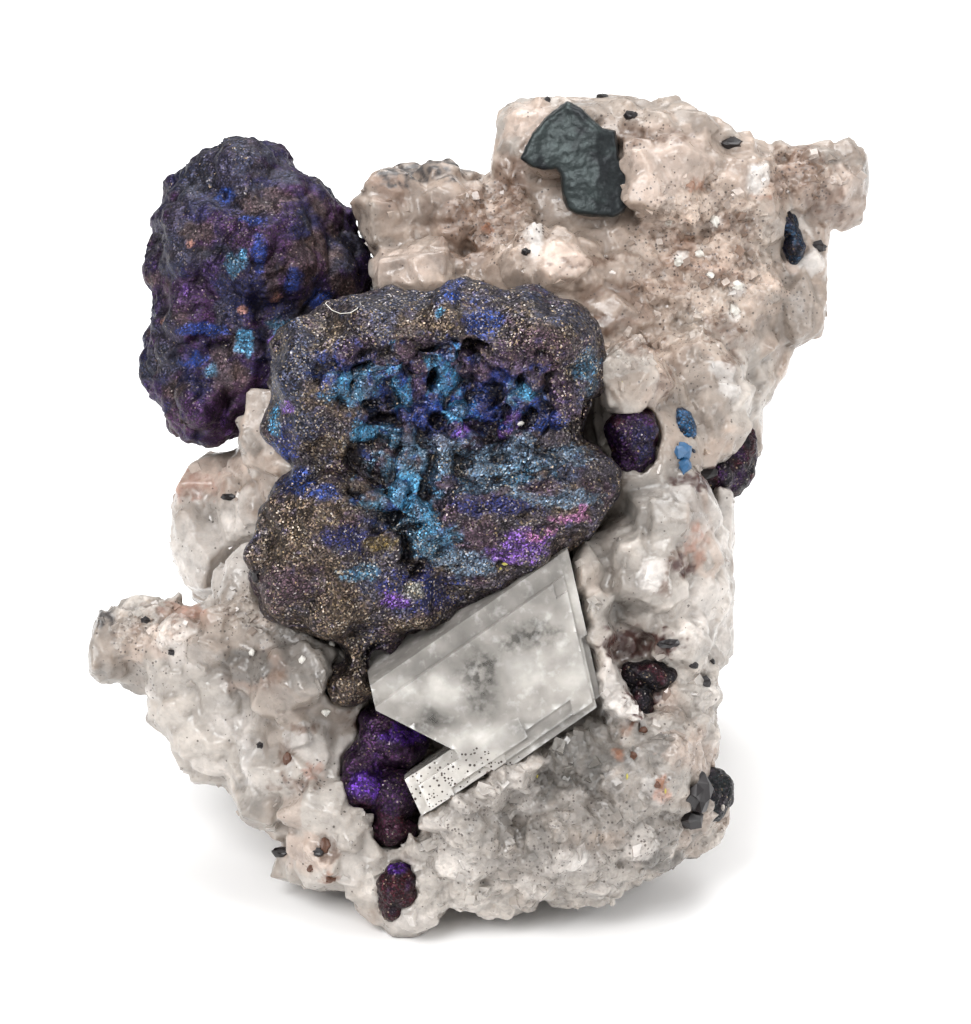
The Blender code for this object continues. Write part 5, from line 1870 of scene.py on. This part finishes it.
def lay_fibre(tree):
    """Short round pieces, end to end, from each place of the route to the next."""
    shape = bmesh.new()
    ends = [on_skin(tree, *spot)[0] + TOWARDS * FIBRE_LIFT for spot in FIBRE_ROUTE]
    for start, end in zip(ends, ends[1:]):
        along = Vector((end - start) * MM)
        turn = along.to_track_quat("Z", "Y").to_matrix().to_4x4()
        place = Matrix.Translation(Vector((start + end) / 2.0 * MM)) @ turn
        bmesh.ops.create_cone(
            shape, cap_ends=True, segments=6, radius1=FIBRE_RADIUS * MM,
            radius2=FIBRE_RADIUS * MM, depth=along.length, matrix=place,
        )
    return put("cotton_fibre", finished(shape, "cotton_fibre"))


fibre = lay_fibre(skins_tree)
cotton = Recipe("cotton")
lint = cotton.surface(Base_Color=(*LINT_AND_GLINT_WHITE, 1.0), Roughness=0.6)
fibre.data.materials.append(cotton.finish(lint))
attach(fibre, "root")
print("the fibre has", len(FIBRE_ROUTE) - 1, "pieces")
bpy.data.objects.remove(matrix)

# %% [markdown]
# ## The clear calcite
#
# Calcite splits along three planes into leaning blocks. This one is clear at its edges and
# milky inside, where veils of tiny bubbles cross it. It could be moved into shape corner by
# corner, but its cleavage keeps every face parallel to one of three. So a cube is leaned
# onto the block's three edges, a corner is broken off, and thin steps are cut where its
# layers came away, by boxes that lean with the block. A smaller block is joined below it.

# %% The clear block
CALCITE_BLOCKS = [
    ((-0.3, -9.5, 4.6), (11.6, 8.0, -1.2), (2.05, -9.1, 1.35), (-0.8, 3.0, -7.4)),
    ((-1.1, -14.8, 6.3), (6.4, 4.2, -0.6), (1.0, -2.1, 0.5), (-0.1, 0.2, -5.2)),
]
BROKEN_CORNER = ((-6.4, -11.8, 4.0), (1.5, -15.8, 4.0))
CORNER_CUT = 16.0
OUTSIDE = (-0.60, -0.60, -0.60)
# Each step: from and to along the block's three edges, where -0.5 and 0.5 are its faces.
MAIN_STEPS = [
    ((-0.10, 0.43, -0.60), (0.60, 0.60, -0.43)),
    ((0.02, 0.33, -0.60), (0.36, 0.60, -0.475)),
    ((0.455, -0.60, -0.60), (0.60, 0.60, -0.45)),
    ((0.40, -0.60, -0.60), (0.60, -0.28, -0.475)),
    (OUTSIDE, (-0.30, -0.42, -0.46)),
    (OUTSIDE, (0.60, -0.375, -0.455)),
    ((-0.60, 0.46, -0.60), (-0.34, 0.60, -0.44)),
    ((0.30, -0.60, 0.10), (0.60, -0.45, 0.60)),
    ((0.47, 0.05, -0.60), (0.60, 0.60, -0.30)),
]
SMALL_STEPS = [
    (OUTSIDE, (-0.05, -0.20, -0.45)),
    (OUTSIDE, (-0.42, 0.60, -0.40)),
    ((-0.20, 0.30, -0.60), (0.60, 0.60, -0.44)),
]
CALCITE_BEVEL = 0.06
CALCITE_GRID = 0.32
WHOLE_BOX = ((-0.5, -0.5, -0.5), (0.5, 0.5, 0.5))
EDGE_WEAR = 0.04
EDGE_CHIPS = 0.45


def lean_of(block):
    """The matrix that turns a unit cube into the block."""
    middle, *edges = block
    columns = [RIGHT * x + UPWARD * y + TOWARDS * z for x, y, z in edges]
    lean = Matrix([Vector(column * MM) for column in columns]).transposed().to_4x4()
    return Matrix.Translation(Vector(seen(*middle) * MM)) @ lean


def leaned_box(name, lean, low, high):
    """A box between two corners, given along the block's edges."""
    middle = [(a + b) / 2.0 for a, b in zip(low, high)]
    size = [b - a for a, b in zip(low, high)]
    shape = bmesh.new()
    place = lean @ Matrix.Translation(middle) @ Matrix.Diagonal((*size, 1.0))
    bmesh.ops.create_cube(shape, size=1.0, matrix=place)
    bmesh.ops.recalc_face_normals(shape, faces=shape.faces)
    return put(name, finished(shape, name))


def corner_cutter():
    start, end = (Vector(seen(*point) * MM) for point in BROKEN_CORNER)
    along = (end - start).normalized()
    outward = along.cross(Vector(TOWARDS)).normalized()
    axes = Matrix((along, outward, Vector(TOWARDS))).transposed().to_4x4()
    place = Matrix.Translation(start + outward * CORNER_CUT * MM / 2.0) @ axes
    lean = place @ Matrix.Scale(CORNER_CUT * MM, 4)
    return leaned_box("broken corner", lean, *WHOLE_BOX)


def cut(piece, operation, others):
    """Joins other pieces to this one, or takes them away from it, and removes them."""
    for other in others:
        modifier = piece.modifiers.new("cut", "BOOLEAN")
        modifier.operation = operation
        modifier.solver = "EXACT"
        modifier.object = other
    settle(piece)
    for other in others:
        bpy.data.objects.remove(other)


def stepped_block(name, block, steps):
    lean = lean_of(block)
    piece = leaned_box(name, lean, *WHOLE_BOX)
    cut(piece, "DIFFERENCE", [leaned_box("step", lean, *step) for step in steps])
    return piece


def divide(piece, spacing):
    """Cuts the faces along a grid, so that there are vertices to carry the paint."""
    shape = shape_of(piece.data)
    corners = np.array([vertex.co for vertex in shape.verts])
    for axis in range(3):
        direction = [float(axis == one) for one in range(3)]
        low, high = corners[:, axis].min(), corners[:, axis].max()
        for place in np.arange(low + spacing * MM / 2.0, high, spacing * MM):
            everything = [*shape.verts, *shape.edges, *shape.faces]
            middle = [place * part for part in direction]
            bmesh.ops.bisect_plane(shape, geom=everything, plane_co=middle, plane_no=direction)
    shape.to_mesh(piece.data)
    shape.free()


def chip_edges(mesh):
    """Frets the edges, where the cleavage has splintered."""
    places, outward = read(mesh)
    worn = fade(-dips(mesh, places, outward, 2), 0.01, 0.05)
    bite = worn * (EDGE_WEAR + EDGE_CHIPS * np.maximum(cloud(places, 0.7, 3, 320.0), 0.0))
    write(mesh, places - outward * bite[:, None])


calcite = stepped_block("clear_calcite_block", CALCITE_BLOCKS[0], MAIN_STEPS)
cut(calcite, "DIFFERENCE", [corner_cutter()])
small_block = stepped_block("small block", CALCITE_BLOCKS[1], SMALL_STEPS)
cut(calcite, "UNION", [small_block])
bevel = calcite.modifiers.new("worn edges", "BEVEL")
bevel.width = CALCITE_BEVEL * MM
bevel.segments = 2
bevel.limit_method = "ANGLE"
bevel.angle_limit = math.radians(25.0)
settle(calcite)
divide(calcite, CALCITE_GRID)
chip_edges(calcite.data)
print("clear calcite:", len(calcite.data.polygons), "faces")

# %% [markdown]
# ## Veils in the calcite
#
# Clear calcite shows what is behind it, and its veils catch the light. A volume inside the
# block could hold the veils, but it renders slowly and no other program reads it. So the
# finish mixes a see-through shader with a milky one, by a painted amount. The milky one's
# grey follows the smoky spots and the bright cleavage that show in this block, and fine
# noise frays them into threads. Its grey also carries painted shade on the upper strip and
# a recessed band, and painted highlights on the chipped edges and in fine glints.

# %% Painting the calcite
VEIL_GREY = srgb(178, 173, 167)
VEIL_SMOKE = srgb(92, 89, 84)
VEIL_WHITE = srgb(214, 210, 204)
CALCITE_PAINTED_SHADE = srgb(146, 142, 137)
VEIL_BLOCK = srgb(196, 191, 184)
PAINTED_HIGHLIGHT_WHITE = srgb(240, 238, 234)
VEIL_PATCHES = [
    # Partly painted shade: the upper strip is thicker, and painted darker where the front mass shades
    # it; a band lower down is painted darker where it is recessed.
    (CALCITE_PAINTED_SHADE, [(-4.0, -8.9, 1.9, 1.1), (-1.6, -7.4, 1.9, 1.1), (0.6, -6.2, 1.9, 1.1),
                  (2.2, -4.7, 2.4, 1.1), (4.2, -3.4, 1.6, 1.2)]),
    (VEIL_WHITE, [(-2.5, -10.9, 1.5, 1.0), (5.8, -9.4, 1.4, 1.4), (2.4, -9.3, 1.1, 1.0),
                  (-0.6, -13.5, 1.9, 0.7), (5.6, -5.4, 0.8, 1.2), (-5.2, -10.6, 1.0, 0.7)]),
    (CALCITE_PAINTED_SHADE, [(2.4, -13.4, 1.3, 0.6), (4.0, -12.8, 1.3, 0.5), (5.3, -12.1, 1.0, 0.4),
                  (-3.4, -12.7, 1.8, 0.9)]),
    (VEIL_BLOCK, [(-2.4, -16.6, 3.4, 2.2), (-4.4, -15.6, 1.2, 1.2), (-0.4, -16.0, 2.4, 1.8)]),
]
VEIL_SOFTNESS = 0.75
SMOKE_SPOTS = [(-0.3, -10.2, 1.1, 1.7), (-0.7, -9.6, 0.6, 0.6), (2.3, -7.4, 1.5, 1.0),
               (3.2, -7.0, 0.5, 0.8), (-3.2, -12.6, 1.3, 0.7)]
VEIL_SPECKS = [(-1.8, -16.2, 2.6, 1.8), (-0.2, -15.6, 2.2, 1.4)]
VEIL_STRENGTH = 0.8
EDGE_HIGHLIGHT_COVER = 0.8
MILK_LEAST, MILK_CLOUDS, MILK_LESS_IN_SMOKE, MILK_MOST = 0.62, 0.20, 0.15, 0.9
MILK_THREADS = (0.8, 0.4)
THREAD_SHADE = (0.80, 0.36)


def paint_calcite(mesh):
    places, outward = read(mesh)
    across, up, _ = as_seen(places)
    ragged = cloud(places, 1.6, 5, 300.0) * 0.6
    everywhere = np.ones(len(places))
    colours = np.tile(VEIL_GREY, (len(places), 1))
    veils = (VEIL_PATCHES, ragged, everywhere, VEIL_STRENGTH, VEIL_SOFTNESS)
    colours = tarnish(across, up, colours, *veils)
    edges = fade(-dips(mesh, places, outward, 1), 0.01, 0.06)
    # Painted highlight along the chipped edges, which are also milkier.
    colours = over(colours, PAINTED_HIGHLIGHT_WHITE, edges * EDGE_HIGHLIGHT_COVER)
    paint(mesh, "tint", colours)
    smoke = patch(across, up, SMOKE_SPOTS, ragged, VEIL_SOFTNESS)
    paint(mesh, "smoke", smoke)
    small_block = fade(-up, 14.0, 15.5)
    clouds = fade(cloud(places, 1.8, 3, 310.0), -0.3, 0.4)
    milk = MILK_LEAST + MILK_CLOUDS * clouds - MILK_LESS_IN_SMOKE * smoke
    paint(mesh, "milk", np.maximum(milk, MILK_MOST * np.maximum(edges, small_block)))
    paint(mesh, "specks", patch(across, up, VEIL_SPECKS, ragged * 0.5))


def clear_calcite_finish():
    recipe = Recipe("clear calcite")
    tint = recipe.painted("tint")
    milk = recipe.painted("milk", "Fac")
    threads = recipe.noise(0.9, 6.0)
    colour = recipe.mix(1.0, tint, THREAD_SHADE[0] + THREAD_SHADE[1] * threads, "MULTIPLY")
    fibres = recipe.ramp(recipe.noise(0.45, 9.0), (0.40, 0.1), (0.60, 1.0))
    colour = recipe.mix(recipe.painted("smoke", "Fac") * fibres, colour, VEIL_SMOKE)
    # Painted glints: fine threads of highlight white.
    glints = recipe.ramp(recipe.noise(0.6, 9.0), (0.55, 0.0), (0.78, 0.5))
    colour = recipe.mix(glints, colour, PAINTED_HIGHLIGHT_WHITE)
    dark = dots(recipe, recipe.painted("specks", "Fac") * 0.8)
    colour = recipe.mix(dark, colour, SPECK_COLOUR)
    factor = milk * (MILK_THREADS[0] + MILK_THREADS[1] * threads) + dark
    normal = recipe.bump(recipe.noise(0.5, 4.0), 0.015)
    clear = recipe.surface(
        Base_Color=(0.96, 0.96, 0.94, 1.0), Roughness=0.08, IOR=1.6, Transmission_Weight=1.0,
        Normal=normal,
    )
    milky = recipe.surface(
        Base_Color=colour, Roughness=0.16, IOR=1.6, Subsurface_Weight=0.6,
        Subsurface_Radius=(1.0, 1.0, 0.95), Subsurface_Scale=0.0016, Coat_Weight=0.4,
        Coat_Roughness=0.06, Normal=normal,
    )
    both = recipe.add("ShaderNodeMixShader", {}, (factor, clear, milky))
    return recipe.finish(both)


paint_calcite(calcite.data)
calcite.data.materials.append(clear_calcite_finish())
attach(calcite, "root")
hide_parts("calcite_crystal")
print("calcite painted in", len(VEIL_PATCHES), "greys")

# %% [markdown]
# ## Floor, light and camera
#
# A mineral is photographed on a white ground, under broad soft lamps, with a long lens. A
# long lens flattens the view, so the camera stands 350 mm off. One lamp would leave black
# shadows between the crystals, so there are three, and the studio's white walls fill in.
# The floor is bright enough to come out white.

# %% The stage
FLOOR_SIZE = 4.0
PICTURE_HEIGHT = 1024
MM_PER_PIXEL = 0.06
SENSOR = 36.0
FLOOR_DROP = 0.00003
LAMP_AIM = (0.0, 0.0, 0.02)
WALL_LIGHT = 0.50
# Each lamp's place and size in metres, and its watts.
LAMPS = {
    "key lamp": ((-0.28, -0.40, 0.50), 0.36, 4.0),
    "right lamp": ((0.50, -0.30, 0.35), 0.30, 1.6),
    "top lamp": ((0.05, 0.25, 0.60), 0.50, 4.0),
}


def make_floor():
    shape = bmesh.new()
    bmesh.ops.create_grid(shape, x_segments=1, y_segments=1, size=FLOOR_SIZE)
    bmesh.ops.translate(shape, vec=(0.0, 0.0, -FLOOR_DROP), verts=shape.verts)
    floor = put("floor", finished(shape, "floor"))
    recipe = Recipe("pale floor")
    floor.data.materials.append(
        recipe.finish(recipe.surface(Base_Color=(0.95, 0.95, 0.95, 1.0), Roughness=0.9))
    )


def make_camera():
    lens = bpy.data.cameras.new("camera")
    lens.sensor_width = SENSOR
    lens.lens = SENSOR * EYE_DISTANCE / (PICTURE_HEIGHT * MM_PER_PIXEL)
    camera = bpy.data.objects.new("camera", lens)
    camera.matrix_world = Matrix.Translation(Vector(EYE * MM)) @ EYE_AXES
    bpy.context.scene.collection.objects.link(camera)
    bpy.context.scene.camera = camera
    return camera


def make_lamp(name, place, size, watts):
    """A square soft lamp that points at the specimen."""
    data = bpy.data.lights.new(name, "AREA")
    data.size = size
    data.energy = watts
    lamp = bpy.data.objects.new(name, data)
    aim = Vector(LAMP_AIM) - Vector(place)
    lamp.matrix_world = (
        Matrix.Translation(place) @ aim.to_track_quat("-Z", "Y").to_matrix().to_4x4()
    )
    bpy.context.scene.collection.objects.link(lamp)


make_floor()
camera = make_camera()
for name, row in LAMPS.items():
    make_lamp(name, *row)

world = bpy.data.worlds.new("studio")
world.use_nodes = True
walls = world.node_tree.nodes["Background"].inputs
walls["Color"].default_value = (1.0, 1.0, 1.0, 1.0)
walls["Strength"].default_value = WALL_LIGHT
bpy.context.scene.world = world
bpy.context.scene.view_settings.view_transform = "Standard"
print("lens:", round(camera.data.lens, 1), "mm")
